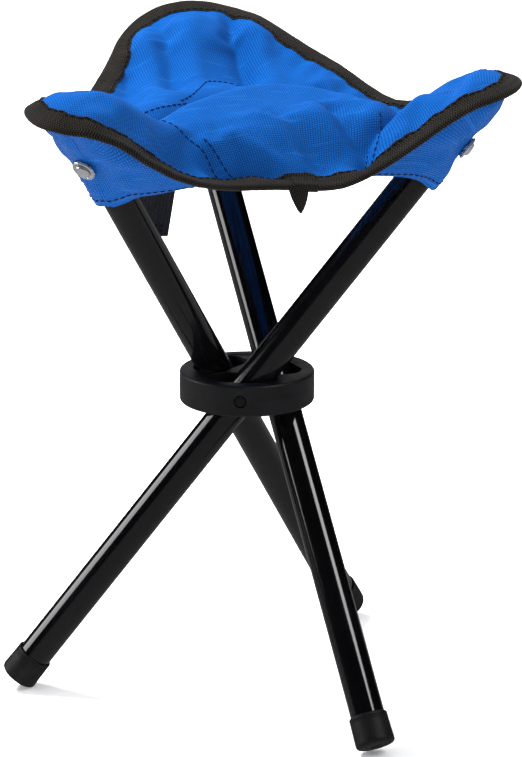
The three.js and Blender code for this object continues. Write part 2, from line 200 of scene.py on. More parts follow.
# ---- Outline of the seat in plan, from the hub's axis ------------------------------------------------
def bearing_after(corner):
    """The outward bearing of the straight side that runs counterclockwise from this corner to the next."""
    other = after(corner)
    run = other.centre - corner.centre
    lean = math.asin((corner.radius - other.radius) / np.linalg.norm(run))
    return math.atan2(run[1], run[0]) - math.pi / 2 + lean


def polar(turn):
    """The unit vector in plan at a bearing."""
    return np.stack([np.cos(turn), np.sin(turn)], axis=-1)


def side_points(corner, share):
    """Points of the side after a corner, at these shares of its run, and the inward direction at each."""
    bearing = bearing_after(corner)
    out = polar(bearing)
    start = corner.centre + out * corner.radius
    end = after(corner).centre + out * after(corner).radius
    drawn = before(corner).bow * np.sin(np.pi * share) ** 2
    points = start + (end - start) * share[:, None] - out * drawn[:, None]
    return points, np.broadcast_to(-out, points.shape)


def arc_points(corner, share):
    """Points of a round corner, at these shares of its turn, and the inward direction at each."""
    first = bearing_after(before(corner))
    turn = first + ((bearing_after(corner) - first) % (2 * math.pi)) * share
    return corner.centre + polar(turn) * corner.radius, -polar(turn)


def sector_outline(corner, side_steps, arc_steps):
    """The outline from the middle of the side before a corner to the middle of the side after it."""
    half = np.linspace(0, 0.5, side_steps + 1)
    runs = [
        side_points(before(corner), 0.5 + half[:-1]),
        arc_points(corner, np.linspace(0, 1, arc_steps + 1)[:-1]),
        side_points(corner, half),
    ]
    return np.vstack([run[0] for run in runs]), np.vstack([run[1] for run in runs])


def walk(corner, distance, direction):
    """The outline at a distance from a corner's tip, counterclockwise (1) or clockwise (-1)."""
    bearing = bearing_after(corner if direction > 0 else before(corner))
    arc = corner.radius * ((direction * (bearing - corner.angle)) % (2 * math.pi))
    if distance <= arc:
        out = polar(corner.angle + direction * distance / corner.radius)
        return corner.centre + out * corner.radius, -out
    run = corner if direction > 0 else before(corner)
    ends, _ = side_points(run, np.array([0.0, 1.0]))
    share = (distance - arc) / np.linalg.norm(ends[1] - ends[0])
    point, inward = side_points(run, np.array([share if direction > 0 else 1 - share]))
    return point[0], inward[0]


# ---- Height of the seat's cloth ----------------------------------------------------------------------
# How much the seat's edge is pulled up, in millimetres, at bearings in degrees round the hub's axis.
EDGE_LIFTS = [
    *[(-172, -8), (-165, -2), (-157, 0), (-147, 0), (-142, -2), (-137, -8), (-132, -12), (-127, -11)],
    *[(-118, -7), (-105, -2), (-90, -1), (-72, -6), (-56, -4), (-45, -3), (-35, -1), (-14, 0), (-2, -5)],
    *[(16, -9), (30, -3), (42, 5), (58, 8), (76, 8), (90, 1), (100, 0), (112, -4), (126, 0)],
    *[(148, -1), (162, -7), (178, -11)],
]

# Folds of the cloth in plan, in millimetres from the hub's axis: a path, a half width, a height and how
# rounded the fold's line is.
FOLDS = [
    # The flat middle's crest, and the valley behind it
    ([(-56, -46), (-35, -22), (0, -5), (15, -1), (38, -12), (50, -31), (54, -58)], 9.0, 5.0, 3.0),
    ([(-70, -24), (-44, -2), (-14, 16), (14, 23), (40, 14), (62, -4), (74, -32)], 10.0, -15.0, 5.0),
    # The lip in front of the middle, and the crease under it
    ([(-42, -48), (-30, -52), (-20, -51), (-13, -55), (-5, -60), (6, -69)], 4.0, 4.6, 1.0),
    ([(-44, -56), (-30, -58), (-21, -58), (-13, -61), (-6, -65), (6, -76)], 4.2, -6.5, 0.8),
    # Soft folds in the front
    ([(-9, -30), (-6, -38), (0, -44), (5, -53), (9, -64), (13, -76)], 5.0, 2.8, 1.0),
    ([(-1, -28), (3, -38), (10, -48), (15, -58), (20, -74)], 6.0, -2.8, 1.5),
    ([(22, -24), (25, -42), (28, -58)], 7.0, 2.6, 2.0),
    ([(29, -26), (32, -42), (36, -51), (42, -58)], 4.0, -4.0, 0.8),
    # The crease by the right seam, and the fold beside it
    ([(33, -78), (36, -66), (40, -56), (45, -50), (56, -45), (72, -34)], 5.0, -7.5, 0.7),
    ([(48, -80), (51, -66), (60, -54), (76, -42)], 6.0, 2.8, 2.0),
    # The valley along the left seam, and the fold beside it
    ([(-56, -72), (-54, -58), (-62, -44), (-70, -28)], 6.0, -2.4, 3.0),
    ([(-84, -62), (-70, -50), (-60, -36)], 8.0, 2.0, 4.0),
    # The crease up the back corner, and the folds on both sides of it
    ([(16, 40), (17, 68), (19, 88), (23, 106), (26, 126)], 4.8, -5.5, 0.8),
    ([(-10, 40), (-4, 74), (0, 100), (3, 126)], 7.0, 3.6, 2.0),
    ([(-36, 28), (-25, 78), (-20, 116)], 8.0, 3.4, 3.0),
    ([(-24, 34), (-15, 80), (-10, 120)], 5.0, -3.4, 1.5),
    ([(28, 34), (28, 66), (30, 88), (38, 112)], 7.0, 3.4, 2.0),
    ([(-46, 24), (-40, 60), (-36, 96)], 6.0, -2.4, 2.0),
    # Behind the ridge over the right leg, the slack over that leg, and behind the left leg's ridge
    ([(50, -14), (74, -6), (100, -6)], 12.0, -7.0, 4.0),
    ([(52, -30), (73, -42), (94, -54)], 15.0, -5.2, 5.0),
    ([(-56, -24), (-84, -20), (-106, -22)], 12.0, -6.0, 4.0),
]


def fold_height(x, y, path, width, height, soft):
    """A rounded ridge or valley along a path, which fades out towards both ends."""
    points = np.array(path) * MM
    lengths = np.linalg.norm(np.diff(points, axis=0), axis=1)
    starts = np.concatenate([[0], np.cumsum(lengths)[:-1]])
    nearest = np.full(np.shape(x), np.inf)
    share = np.zeros(np.shape(x))
    for a, b, length, start in zip(points[:-1], points[1:], lengths, starts):
        step = (b - a) / length
        t = np.clip((x - a[0]) * step[0] + (y - a[1]) * step[1], 0, length)
        distance = np.hypot(x - a[0] - step[0] * t, y - a[1] - step[1] * t)
        closer = distance < nearest
        nearest = np.where(closer, distance, nearest)
        share = np.where(closer, (start + t) / lengths.sum(), share)
    fade = smooth(share * 4) * smooth((1 - share) * 4)
    reach = np.hypot(nearest, soft * MM) - soft * MM
    return height * MM * fade * np.exp(-((reach / (width * MM)) ** 1.3))


def seat_height(x, y):
    """Height over the hub's middle: a flat middle, a rise over each leg, a droop between the corners."""
    height = SEAT_RISE - SEAT_DISH * np.minimum(1, (x * x + y * y) / DISH_RADIUS**2)
    for corner in corners:
        out = x * corner.ahead[0] + y * corner.ahead[1]
        across = x * corner.across[0] + y * corner.across[1]
        rise = smooth((out - HUMP_START) / (HUMP_TOP - HUMP_START))
        height = height + HUMP * rise * np.exp(-((across / corner.width) ** 2))
        height = height + corner.curl * np.maximum(0, out - TIP_START) ** 2
        ease = 1 - 0.9 * smooth(np.abs(across) / (95 * MM))
        height = height - corner.drop * ease * smooth((-out - DROP_START) / (DROP_END - DROP_START))
    outward = smooth((np.hypot(x, y) / edge_radius(x, y) - 0.45) / 0.55)
    height = height + edge_lift(x, y) * outward
    inland = 1 - smooth((outward - 0.75) / 0.25)
    for fold in FOLDS:
        height = height + fold_height(x, y, *fold) * inland
    return height


def edge_lift(x, y):
    """The pull on the edge at the bearing of each point."""
    bearings, lifts = np.array(EDGE_LIFTS).T
    turn = np.degrees(np.arctan2(y, x))
    spread = [(-6, 0.25), (0, 0.5), (6, 0.25)]
    return sum(w * np.interp(turn + d, bearings, lifts, period=360) for d, w in spread) * MM


def outline_radii():
    """The outline's distance from the hub's axis against its bearing."""
    outline = np.vstack([sector_outline(corner, 24, 24)[0][:-1] for corner in corners])
    turn = np.arctan2(outline[:, 1], outline[:, 0])
    order = np.argsort(turn)
    return turn[order], np.hypot(*outline.T)[order]


EDGE_TURN, EDGE_RADIUS = outline_radii()


def edge_radius(x, y):
    """The outline's distance from the hub's axis at the bearing of each point."""
    return np.interp(np.arctan2(y, x), EDGE_TURN, EDGE_RADIUS, period=2 * np.pi)


# ---- Wrinkles from a cloth simulation ----------------------------------------------------------------
class Wrinkles:
    """How far a slack cloth, held at its edge and over the leg tops, moves from the drawn surface."""

    STEP = 4 * MM
    SCALE = 10.0  # the simulation runs on a larger copy, where its solver is steady
    FRAMES = 24
    LIMIT = 1.9 * MM

    def __init__(self):
        reach = max(corner.reach for corner in corners)
        self.count = 2 * int(math.ceil(reach / self.STEP)) + 1
        self.low = -(self.count - 1) / 2 * self.STEP
        self.shift = np.zeros((self.count, self.count, 3))

    def run(self):
        line = self.low + self.STEP * np.arange(self.count)
        x, y = np.meshgrid(line, line, indexing="ij")
        inset = self.inset(x, y)
        inside = inset > 0
        index = np.full(x.shape, -1)
        index[inside] = np.arange(inside.sum())
        flat = np.stack([x, y, seat_height(x, y)], axis=-1)[inside] * self.SCALE
        faces = []
        for i in range(self.count - 1):
            for j in range(self.count - 1):
                quad = [index[i, j], index[i + 1, j], index[i + 1, j + 1], index[i, j + 1]]
                if min(quad) >= 0:
                    turn = (i + j) % 2
                    a, b, c, d = (int(v) for v in quad[turn:] + quad[:turn])
                    faces += [(a, b, c), (a, c, d)]
        mesh = bpy.data.meshes.new("slack_cloth")
        mesh.from_pydata([tuple(p) for p in flat], [], faces)
        cloth = bpy.data.objects.new("slack_cloth", mesh)
        bpy.context.scene.collection.objects.link(cloth)
        self.pin(cloth, x[inside], y[inside], inset[inside])
        self.drape(cloth)
        evaluated = cloth.evaluated_get(bpy.context.evaluated_depsgraph_get())
        moved = np.zeros(len(flat) * 3)
        evaluated.data.vertices.foreach_get("co", moved)
        shift = (moved.reshape(-1, 3) - flat) / self.SCALE
        size = np.linalg.norm(shift, axis=1, keepdims=True)
        self.shift[inside] = shift * np.minimum(1, self.LIMIT / np.maximum(size, 1e-9))
        bpy.data.objects.remove(cloth)
        bpy.context.scene.frame_set(1)

    def inset(self, x, y):
        """Distance in from the outline, along the line from the middle of the seat."""
        return edge_radius(x, y) - np.hypot(x, y)

    def pin(self, cloth, x, y, inset):
        held = 1 - smooth((inset - TAPE_WIDTH) / (9 * MM))
        for corner in corners:
            top = (corner.pivot - HUB)[:2] + corner.along[:2] * corner.extent("top_plug", corner.along)[1]
            near = np.hypot(x - top[0], y - top[1])
            held = np.maximum(held, 1 - smooth((near - 9 * MM) / (8 * MM)))
        group = cloth.vertex_groups.new(name="held")
        for number, weight in enumerate(held):
            group.add([number], float(weight), "REPLACE")

    def drape(self, cloth):
        modifier = cloth.modifiers.new("slack", "CLOTH")
        settings = modifier.settings
        settings.quality = 6
        settings.mass = 0.4
        settings.air_damping = 4
        settings.tension_stiffness = 20
        settings.compression_stiffness = 20
        settings.shear_stiffness = 8
        settings.bending_stiffness = 1.2
        settings.shrink_min = -0.05
        settings.vertex_group_mass = "held"
        settings.effector_weights.gravity = 0.15
        modifier.point_cache.frame_start = 1
        modifier.point_cache.frame_end = self.FRAMES
        for number in range(1, self.FRAMES + 1):
            bpy.context.scene.frame_set(number)

    def at(self, x, y):
        """The shift at points in plan, by smooth interpolation between the simulated ones."""
        gx = np.clip((x - self.low) / self.STEP, 1, self.count - 3)
        gy = np.clip((y - self.low) / self.STEP, 1, self.count - 3)
        ix = np.floor(gx).astype(int)
        iy = np.floor(gy).astype(int)
        total = 0
        for m, wx in enumerate(self.weights(gx - ix)):
            for n, wy in enumerate(self.weights(gy - iy)):
                total = total + (wx * wy)[..., None] * self.shift[ix + m - 1, iy + n - 1]
        return total

    @staticmethod
    def weights(t):
        """A cubic B-spline's four weights."""
        second = (3 * t**3 - 6 * t * t + 4) / 6
        third = (-3 * t**3 + 3 * t * t + 3 * t + 1) / 6
        return [(1 - t) ** 3 / 6, second, third, t**3 / 6]


wrinkles = Wrinkles()
wrinkles.run()


def seat_points(plan):
    """Points on the middle of the seat's cloth, in the row frame, over points in plan."""
    x, y = plan[..., 0], plan[..., 1]
    points = np.stack([x, y, seat_height(x, y)], axis=-1)
    return points + wrinkles.at(x, y) + HUB


# ---- Meshes ------------------------------------------------------------------------------------------
def new_piece(name, points, faces, look, uv=None, normals=None):
    mesh = bpy.data.meshes.new(name)
    mesh.from_pydata([tuple(map(float, p)) for p in points], [], faces)
    mesh.polygons.foreach_set("use_smooth", [True] * len(mesh.polygons))
    if uv is not None:
        layer = mesh.uv_layers.new(name="flat")
        corner_vertex = np.zeros(len(mesh.loops), int)
        mesh.loops.foreach_get("vertex_index", corner_vertex)
        layer.data.foreach_set("uv", np.asarray(uv, float)[corner_vertex].ravel())
    if normals is not None:
        mesh.normals_split_custom_set_from_vertices([tuple(map(float, n)) for n in normals])
    mesh.materials.append(look)
    piece = bpy.data.objects.new(name, mesh)
    bpy.context.scene.collection.objects.link(piece)
    return piece


def grid_normals(grid, closed=False):
    """Normals of a grid of points; closed says that its second direction is a loop."""
    down = np.gradient(grid, axis=0)
    if closed:
        along = np.roll(grid, -1, axis=1) - np.roll(grid, 1, axis=1)
    else:
        along = np.gradient(grid, axis=1)
    normals = np.cross(down, along)
    size = np.linalg.norm(normals, axis=-1, keepdims=True)
    return normals / np.maximum(size, 1e-15)


def sheet_mesh(name, grid, normals, uv, thickness, look, pole=False, rims=(1, 1, 1, 1)):
    """A cloth of that thickness from points on its middle. pole says that its first row is one point, and
    rims which of its edges (first row, last row, first column, last column) are closed."""
    rows, columns = grid.shape[:2]
    index = np.arange(rows * columns).reshape(rows, columns)
    if pole:
        index[0, :] = 0
    quads = np.stack([index[:-1, :-1], index[1:, :-1], index[1:, 1:], index[:-1, 1:]], axis=-1)
    layer = rows * columns
    faces = [list(dict.fromkeys(quad)) for quad in quads.reshape(-1, 4).tolist()]
    faces += [[v + layer for v in reversed(face)] for face in faces]
    edges = [index[0, ::-1], index[-1], index[:, 0], index[::-1, -1]]
    for edge, wanted in zip(edges, rims):
        if wanted:
            faces += [[int(b), int(a), int(a + layer), int(b + layer)] for a, b in zip(edge[:-1], edge[1:])]
    offset = normals * thickness / 2
    points = np.concatenate([(grid + offset).reshape(-1, 3), (grid - offset).reshape(-1, 3)])
    both = np.concatenate([normals.reshape(-1, 3), -normals.reshape(-1, 3)])
    piece = new_piece(name, points, faces, look, np.tile(uv.reshape(-1, 2), (2, 1)), both)
    drop_loose(piece)
    return piece


def drop_loose(piece):
    """Deletes points that no face uses."""
    shape = bmesh.new()
    shape.from_mesh(piece.data)
    loose = [v for v in shape.verts if not v.link_faces]
    if loose:
        bmesh.ops.delete(shape, geom=loose, context="VERTS")
        shape.to_mesh(piece.data)
    shape.free()


def sweep(name, sections, look, uv):
    """A solid from a row of closed sections, each a loop of points, with both ends capped."""
    count, around = sections.shape[:2]
    index = np.arange(count * around).reshape(count, around)
    turned = np.roll(index, -1, axis=1)
    quads = np.stack([index[:-1], index[1:], turned[1:], turned[:-1]], axis=-1)
    faces = quads.reshape(-1, 4).tolist()
    faces.append(index[0].tolist())
    faces.append(index[-1, ::-1].tolist())
    return new_piece(name, sections.reshape(-1, 3), faces, look, uv.reshape(-1, 2))


def lathe(name, profile, matrix, look, sides=96):
    """A turned solid about its own Z, from (radius, height) pairs that start and end on the axis or
    close on themselves."""
    profile = np.array(profile, float)
    closed = profile[0, 0] > 0
    turn = 2 * np.pi * np.arange(sides) / sides
    points = []
    faces = []
    uv = []
    rings = []
    for (radius, height), run in zip(profile, run_along(profile)):
        if radius < 1e-9:
            rings.append([len(points)] * sides)
            points.append((0, 0, height))
            uv.append((0, run))
        else:
            rings.append(list(range(len(points), len(points) + sides)))
            points += [(radius * math.cos(t), radius * math.sin(t), height) for t in turn]
            uv += [(radius * t, run) for t in turn]
    pairs = list(zip(rings, rings[1:])) + ([(rings[-1], rings[0])] if closed else [])
    for low, high in pairs:
        for i in range(sides):
            j = (i + 1) % sides
            faces.append(list(dict.fromkeys([low[i], low[j], high[j], high[i]])))
    placed = np.array(points) @ matrix[:3, :3].T + matrix[:3, 3]
    piece = new_piece(name, placed, faces, look, uv)
    sharpen(piece)
    return piece


def sharpen(piece, degrees=35):
    """Marks the edges that are sharper than this, and keeps the other normals smooth."""
    shape = bmesh.new()
    shape.from_mesh(piece.data)
    bmesh.ops.recalc_face_normals(shape, faces=shape.faces)
    for edge in shape.edges:
        edge.smooth = len(edge.link_faces) == 2 and edge.calc_face_angle(0) < math.radians(degrees)
    shape.to_mesh(piece.data)
    shape.free()
    weighted = piece.modifiers.new("weighted", "WEIGHTED_NORMAL")
    weighted.keep_sharp = True


def rounded(start, end, bulge, steps=5):
    """Points of a quarter ellipse between two (radius, height) pairs; bulge is the corner it rounds."""
    start, end, bulge = (np.array(p, float) for p in (start, end, bulge))
    turn = np.linspace(0, math.pi / 2, steps + 1)
    points = [bulge + (start - bulge) * (1 - math.sin(t)) + (end - bulge) * (1 - math.cos(t)) for t in turn]
    return [tuple(point) for point in points]


def stitches(name, rows, look, length=STITCH):
    """Rows of single stitches lying on a cloth. Each row is (points, normals) along its line."""
    bow = 0.35 * MM
    points = []
    faces = []
    turn = 2 * np.pi * np.arange(6) / 6
    for line, normals in rows:
        run = run_along(line)
        for start in np.arange(0, run[-1] - length, length + STITCH_GAP):
            share = np.linspace(0, 1, 6)
            at = start + share * length
            middle = np.stack([np.interp(at, run, line[:, k]) for k in range(3)], axis=-1)
            up = unit(np.stack([np.interp(at, run, normals[:, k]) for k in range(3)], axis=-1))
            middle = middle + up * (bow * np.sin(np.pi * share) - 0.1 * MM)[:, None]
            ahead = unit(np.gradient(middle, axis=0))
            aside = unit(np.cross(ahead, up))
            size = THREAD * np.array([0.45, 0.95, 1, 1, 0.95, 0.45])
            first = len(points)
            for k in range(6):
                outward = np.cross(aside[k], ahead[k])
                circle = np.cos(turn)[:, None] * aside[k] + np.sin(turn)[:, None] * outward
                points += list(middle[k] + size[k] * circle)
            for k in range(5):
                for n in range(6):
                    m = (n + 1) % 6
                    a, b = first + 6 * k, first + 6 * k + 6
                    faces.append([a + n, a + m, b + m, b + n])
            faces.append([first + n for n in reversed(range(6))])
            faces.append([first + 30 + n for n in range(6)])
    piece = new_piece(name, points, faces, look, np.zeros((len(points), 2)))
    sharpen(piece, 80)
    return piece


# ---- Materials ---------------------------------------------------------------------------------------
class Look:
    """A material whose shader's sockets are set by name, with helpers that add and link its nodes."""

    def __init__(self, name, **sockets):
        self.material = bpy.data.materials.new(name)
        self.material.use_nodes = True
        self.nodes = self.material.node_tree.nodes
        self.links = self.material.node_tree.links
        self.shader = self.nodes["Principled BSDF"]
        for socket, value in sockets.items():
            self.shader.inputs[socket.replace("_", " ")].default_value = value

    def add(self, kind, inputs=(), **settings):
        node = self.nodes.new("ShaderNode" + kind)
        for key, value in settings.items():
            setattr(node, key, value)
        for key, value in dict(inputs).items():
            self.join(value, node.inputs[key])
        return node

    def join(self, value, socket):
        if isinstance(value, bpy.types.NodeSocket):
            self.links.new(value, socket)
        else:
            socket.default_value = value

    def math(self, operation, a, b=0.0):
        return self.add("Math", {0: a, 1: b}, operation=operation).outputs[0]

    def flat(self):
        """The cloth's flat coordinates, or a turned piece's, in metres."""
        return self.add("UVMap", uv_map="flat").outputs[0]

    def place(self):
        return self.add("TexCoord").outputs["Object"]

    def split(self, vector):
        return self.add("SeparateXYZ", {0: vector}).outputs[:2]

    def noise(self, vector, scale, detail=2.0, roughness=0.5, stretch=(1, 1, 1)):
        mapped = self.add("Mapping", {"Vector": vector, "Scale": stretch}).outputs[0]
        inputs = {"Vector": mapped, "Scale": scale, "Detail": detail, "Roughness": roughness}
        return self.add("TexNoise", inputs).outputs["Fac"]

    def range(self, value, low, high, to_low=0.0, to_high=1.0):
        inputs = {"Value": value, "From Min": low, "From Max": high, "To Min": to_low, "To Max": to_high}
        return self.add("MapRange", inputs).outputs[0]

    def mix(self, factor, a, b):
        node = self.add("Mix", data_type="RGBA")
        self.join(factor, node.inputs[0])
        self.join(a, node.inputs[6])
        self.join(b, node.inputs[7])
        return node.outputs[2]

    def bump(self, height, distance, strength=1.0, normal=None):
        inputs = {"Height": height, "Distance": distance, "Strength": strength}
        if normal is not None:
            inputs["Normal"] = normal
        return self.add("Bump", inputs).outputs[0]

    def wear(self, color=None, roughness=None, normal=None):
        for name, value in (("Base Color", color), ("Roughness", roughness), ("Normal", normal)):
            if value is not None:
                self.join(value, self.shader.inputs[name])
        return self.material


def colour(red, green, blue):
    """A colour from 0 to 255 display values, as the linear values a shader takes."""
    shares = [value / 255 for value in (red, green, blue)]
    return (*(c / 12.92 if c <= 0.04045 else ((c + 0.055) / 1.055) ** 2.4 for c in shares), 1.0)


def woven_cloth():
    """Blue oxford polyester: a plain weave of thick threads, with a rib, slubs, a slight mottle and painted
    shade in its gaps.
    """
    look = Look("blue_oxford_cloth", Roughness=0.8, Specular_IOR_Level=0.07)
    look.shader.inputs["Sheen Weight"].default_value = 0.02
    look.shader.inputs["Sheen Roughness"].default_value = 0.4
    look.shader.inputs["Sheen Tint"].default_value = colour(120, 170, 255)
    flat = look.flat()
    waviness = look.noise(flat, 160, 1)
    u, v = look.split(flat)
    drift = look.math("MULTIPLY", waviness, 0.25 * MM)
    u = look.math("MULTIPLY", look.math("ADD", u, drift), math.pi / WEAVE_PITCH)
    v = look.math("MULTIPLY", look.math("ADD", v, drift), math.pi / (WEAVE_PITCH * 0.86))
    su, sv = look.math("SINE", u), look.math("SINE", v)
    over = look.math("GREATER_THAN", look.math("MULTIPLY", su, sv), 0.0)
    au, av = look.math("ABSOLUTE", su), look.math("ABSOLUTE", sv)
    warp = look.math("MULTIPLY", au, look.math("POWER", av, 0.35))
    weft = look.math("MULTIPLY", look.math("POWER", au, 0.5), look.math("MULTIPLY", av, 0.82))
    thread = look.add("Mix", {0: over, 2: weft, 3: warp}, data_type="FLOAT").outputs[0]
    fibre = look.noise(flat, 5200, 2, 0.6)
    height = look.math("ADD", thread, look.math("MULTIPLY", fibre, 0.18))
    mottle = look.noise(flat, 34, 3, 0.6)
    # Painted shade: the colour darkens where the threads dip into the weave's gaps, and a random mottle
    # varies it.
    depth = look.range(thread, 0.0, 0.85, 0.25, 1.0)
    shade = look.math("MULTIPLY", depth, look.range(mottle, 0.3, 0.7, 0.9, 1.0))
    color = look.mix(shade, colour(2, 19, 59), colour(10, 75, 146))
    slub = look.noise(flat, 300, 1, 0.5, (0.12, 1, 1))
    color = look.mix(look.range(slub, 0.62, 0.75, 0.0, 0.28), color, colour(26, 96, 170))
    rough = look.range(thread, 0.0, 1.0, 0.86, 0.66)
    normal = look.bump(height, 0.24 * MM, 0.85)
    normal = look.bump(mottle, 0.5 * MM, 0.5, normal)
    return look.wear(color, rough, normal)


def ribbed_tape():
    """Black binding tape: cross ribs broken into a herringbone, with a patchy painted highlight on their
    crests.
    """
    look = Look("black_binding_tape", Roughness=0.85, Sheen_Weight=0.03, Specular_IOR_Level=0.15)
    flat = look.flat()
    u, v = look.split(flat)
    zigzag = look.math("PINGPONG", v, 2.0 * MM)
    slanted = look.math("ADD", u, look.math("MULTIPLY", zigzag, 0.55))
    rib = look.math("ABSOLUTE", look.math("SINE", look.math("MULTIPLY", slanted, math.pi / (1.25 * MM))))
    row = look.math("ABSOLUTE", look.math("SINE", look.math("MULTIPLY", v, math.pi / (0.8 * MM))))
    weave = look.math("MULTIPLY", rib, look.range(row, 0.0, 1.0, 0.4, 1.0))
    fibre = look.noise(flat, 4200, 2, 0.6)
    highlight_patches = look.noise(flat, 60, 3, 0.65)
    height = look.math("ADD", weave, look.math("MULTIPLY", fibre, 0.2))
    # Painted highlight: the rib crests take a lighter, warm colour, stronger in some patches than in others.
    shade = look.math("MULTIPLY", look.range(weave, 0.6, 1.0), look.range(highlight_patches, 0.3, 0.7, 0.45, 1.0))
    color = look.mix(shade, colour(3, 3, 3), colour(60, 54, 46))
    return look.wear(color, look.range(weave, 0.0, 1.0, 0.9, 0.7), look.bump(height, 0.3 * MM, 0.8))


def sewing_thread(name, red, green, blue):
    """Twisted thread with a slight sheen."""
    look = Look(name, Roughness=0.65, Specular_IOR_Level=0.15)
    place = look.place()
    twist = look.noise(place, 2600, 1)
    color = look.mix(twist, colour(red * 0.6, green * 0.6, blue * 0.6), colour(red, green, blue))
    return look.wear(color, None, look.bump(twist, 0.08 * MM, 0.6))


def gloss_enamel():
    """Gloss black enamel on steel tube: faint orange peel, hairline scratches along it, a little dust."""
    look = Look("gloss_black_enamel", Roughness=0.16, Coat_Weight=0.25, Coat_Roughness=0.06)
    look.shader.inputs["Specular IOR Level"].default_value = 0.5
    flat = look.flat()
    peel = look.noise(flat, 420, 2, 0.5)
    scratch = look.noise(flat, 900, 2, 0.6, (1, 0.05, 1))
    smear = look.noise(flat, 36, 3, 0.6, (1, 0.35, 1))
    color = look.mix(look.range(smear, 0.45, 0.8), colour(4, 4, 5), colour(9, 9, 11))
    smeared = look.range(smear, 0.35, 0.75, 0.09, 0.16)
    rough = look.math("ADD", smeared, look.range(scratch, 0.66, 0.74, 0.0, 0.07))
    normal = look.bump(peel, 0.03 * MM, 0.5)
    normal = look.bump(scratch, 0.015 * MM, 0.4, normal)
    return look.wear(color, rough, normal)


def moulded_plastic():
    """Satin black plastic: fine spark-eroded grain, flow marks and rubbed, slightly paler patches."""
    look = Look("satin_hub_plastic", Roughness=0.45, Specular_IOR_Level=0.4)
    place = look.place()
    grain = look.noise(place, 2600, 3, 0.6)
    flow = look.noise(place, 70, 3, 0.6)
    edge = look.add("NewGeometry").outputs["Pointiness"]
    rubbed = look.math("MULTIPLY", look.range(edge, 0.52, 0.58), look.range(flow, 0.35, 0.7))
    color = look.mix(look.range(flow, 0.35, 0.7), colour(8, 8, 11), colour(12, 12, 16))
    color = look.mix(look.math("MULTIPLY", rubbed, 0.3), color, colour(40, 40, 44))
    rough = look.range(flow, 0.3, 0.7, 0.38, 0.52)
    return look.wear(color, rough, look.bump(grain, 0.05 * MM, 0.5))


def foot_rubber():
    """Black rubber: matt, slightly pitted, greyed where it rubs the ground."""
    look = Look("black_foot_rubber", Roughness=0.6, Specular_IOR_Level=0.4)
    flat = look.flat()
    pits = look.noise(look.place(), 1500, 3, 0.65)
    scuff = look.noise(flat, 120, 3, 0.7, (1, 0.4, 1))
    color = look.mix(look.range(scuff, 0.5, 0.85), colour(9, 9, 11), colour(24, 24, 27))
    return look.wear(color, look.range(scuff, 0.4, 0.8, 0.48, 0.72), look.bump(pits, 0.06 * MM, 0.5))


def bright_chrome():
    """Nickel-chrome plate with fine polishing marks and a few dull spots."""
    look = Look("bright_chrome", Metallic=0.9, Roughness=0.14)
    place = look.place()
    marks = look.noise(place, 1800, 2, 0.6, (1, 1, 0.2))
    spots = look.noise(place, 500, 2, 0.5)
    color = look.mix(look.range(spots, 0.62, 0.8), colour(226, 228, 232), colour(205, 205, 203))
    return look.wear(color, look.range(spots, 0.45, 0.75, 0.1, 0.16), look.bump(marks, 0.002 * MM, 0.15))


def pin_steel():
    """Blackened drawn steel with a trace of wear."""
    look = Look("blackened_steel", Metallic=1.0, Roughness=0.4)
    place = look.place()
    tarnish = look.noise(place, 260, 3, 0.6)
    color = look.mix(look.range(tarnish, 0.5, 0.8), colour(58, 58, 61), colour(88, 84, 80))
    return look.wear(color, look.range(tarnish, 0.3, 0.8, 0.24, 0.5), look.bump(tarnish, 0.02 * MM, 0.4))


def webbing():
    """Black polypropylene webbing: broad lengthways ribs crossed by fine picks, with painted shade between
    them.
    """
    look = Look("black_webbing", Roughness=0.7, Sheen_Weight=0.15)
    flat = look.flat()
    u, v = look.split(flat)
    rib = look.math("ABSOLUTE", look.math("SINE", look.math("MULTIPLY", u, math.pi / (1.6 * MM))))
    pick = look.math("ABSOLUTE", look.math("SINE", look.math("MULTIPLY", v, math.pi / (0.9 * MM))))
    height = look.math("ADD", look.math("MULTIPLY", rib, 0.6), look.math("MULTIPLY", pick, 0.4))
    fibre = look.noise(flat, 4000, 2)
    # Painted shade: the colour darkens where the ribs and picks dip, and fibre noise breaks it up.
    color = look.mix(look.math("MULTIPLY", height, fibre), colour(6, 6, 8), colour(34, 34, 38))
    return look.wear(color, look.range(height, 0.0, 1.0, 0.85, 0.62), look.bump(height, 0.35 * MM, 0.8))


cloth_look = woven_cloth()
tape_look = ribbed_tape()
enamel_look = gloss_enamel()
plastic_look = moulded_plastic()
rubber_look = foot_rubber()
chrome_look = bright_chrome()
steel_look = pin_steel()
webbing_look = webbing()
navy_thread = sewing_thread("navy_thread", 8, 22, 62)
black_thread = sewing_thread("black_thread", 19, 19, 22)


# ---- Legs --------------------------------------------------------------------------------------------
def finish_piece(piece, body, slot, *nodes):
    """A rigid piece: the body it rides on, its material slot and the CAD nodes it stands for. slot is not
    used.
    """
    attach(piece, body)
    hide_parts(*nodes)


def bore(piece, *rods):
    """Cuts round holes, each a (matrix, radius, low, high) about its own Z."""
    for matrix, radius, low, high in rods:
        profile = [(0, low), (radius, low), (radius, high), (0, high)]
        tool = lathe("bore_tool", profile, matrix, steel_look, 40)
        tool.modifiers.clear()
        cut_with(piece, tool)


def cut_with(piece, tool):
    """Takes one closed mesh out of another, and deletes the tool."""
    weighted = piece.modifiers.get("weighted")
    if weighted:
        piece.modifiers.remove(weighted)
    boolean = piece.modifiers.new("cut", "BOOLEAN")
    boolean.object = tool
    boolean.operation = "DIFFERENCE"
    boolean.solver = "EXACT"
    dependencies = bpy.context.evaluated_depsgraph_get()
    cut_mesh = bpy.data.meshes.new_from_object(piece.evaluated_get(dependencies))
    piece.modifiers.clear()
    piece.data = cut_mesh
    bpy.data.objects.remove(tool)
    sharpen(piece)


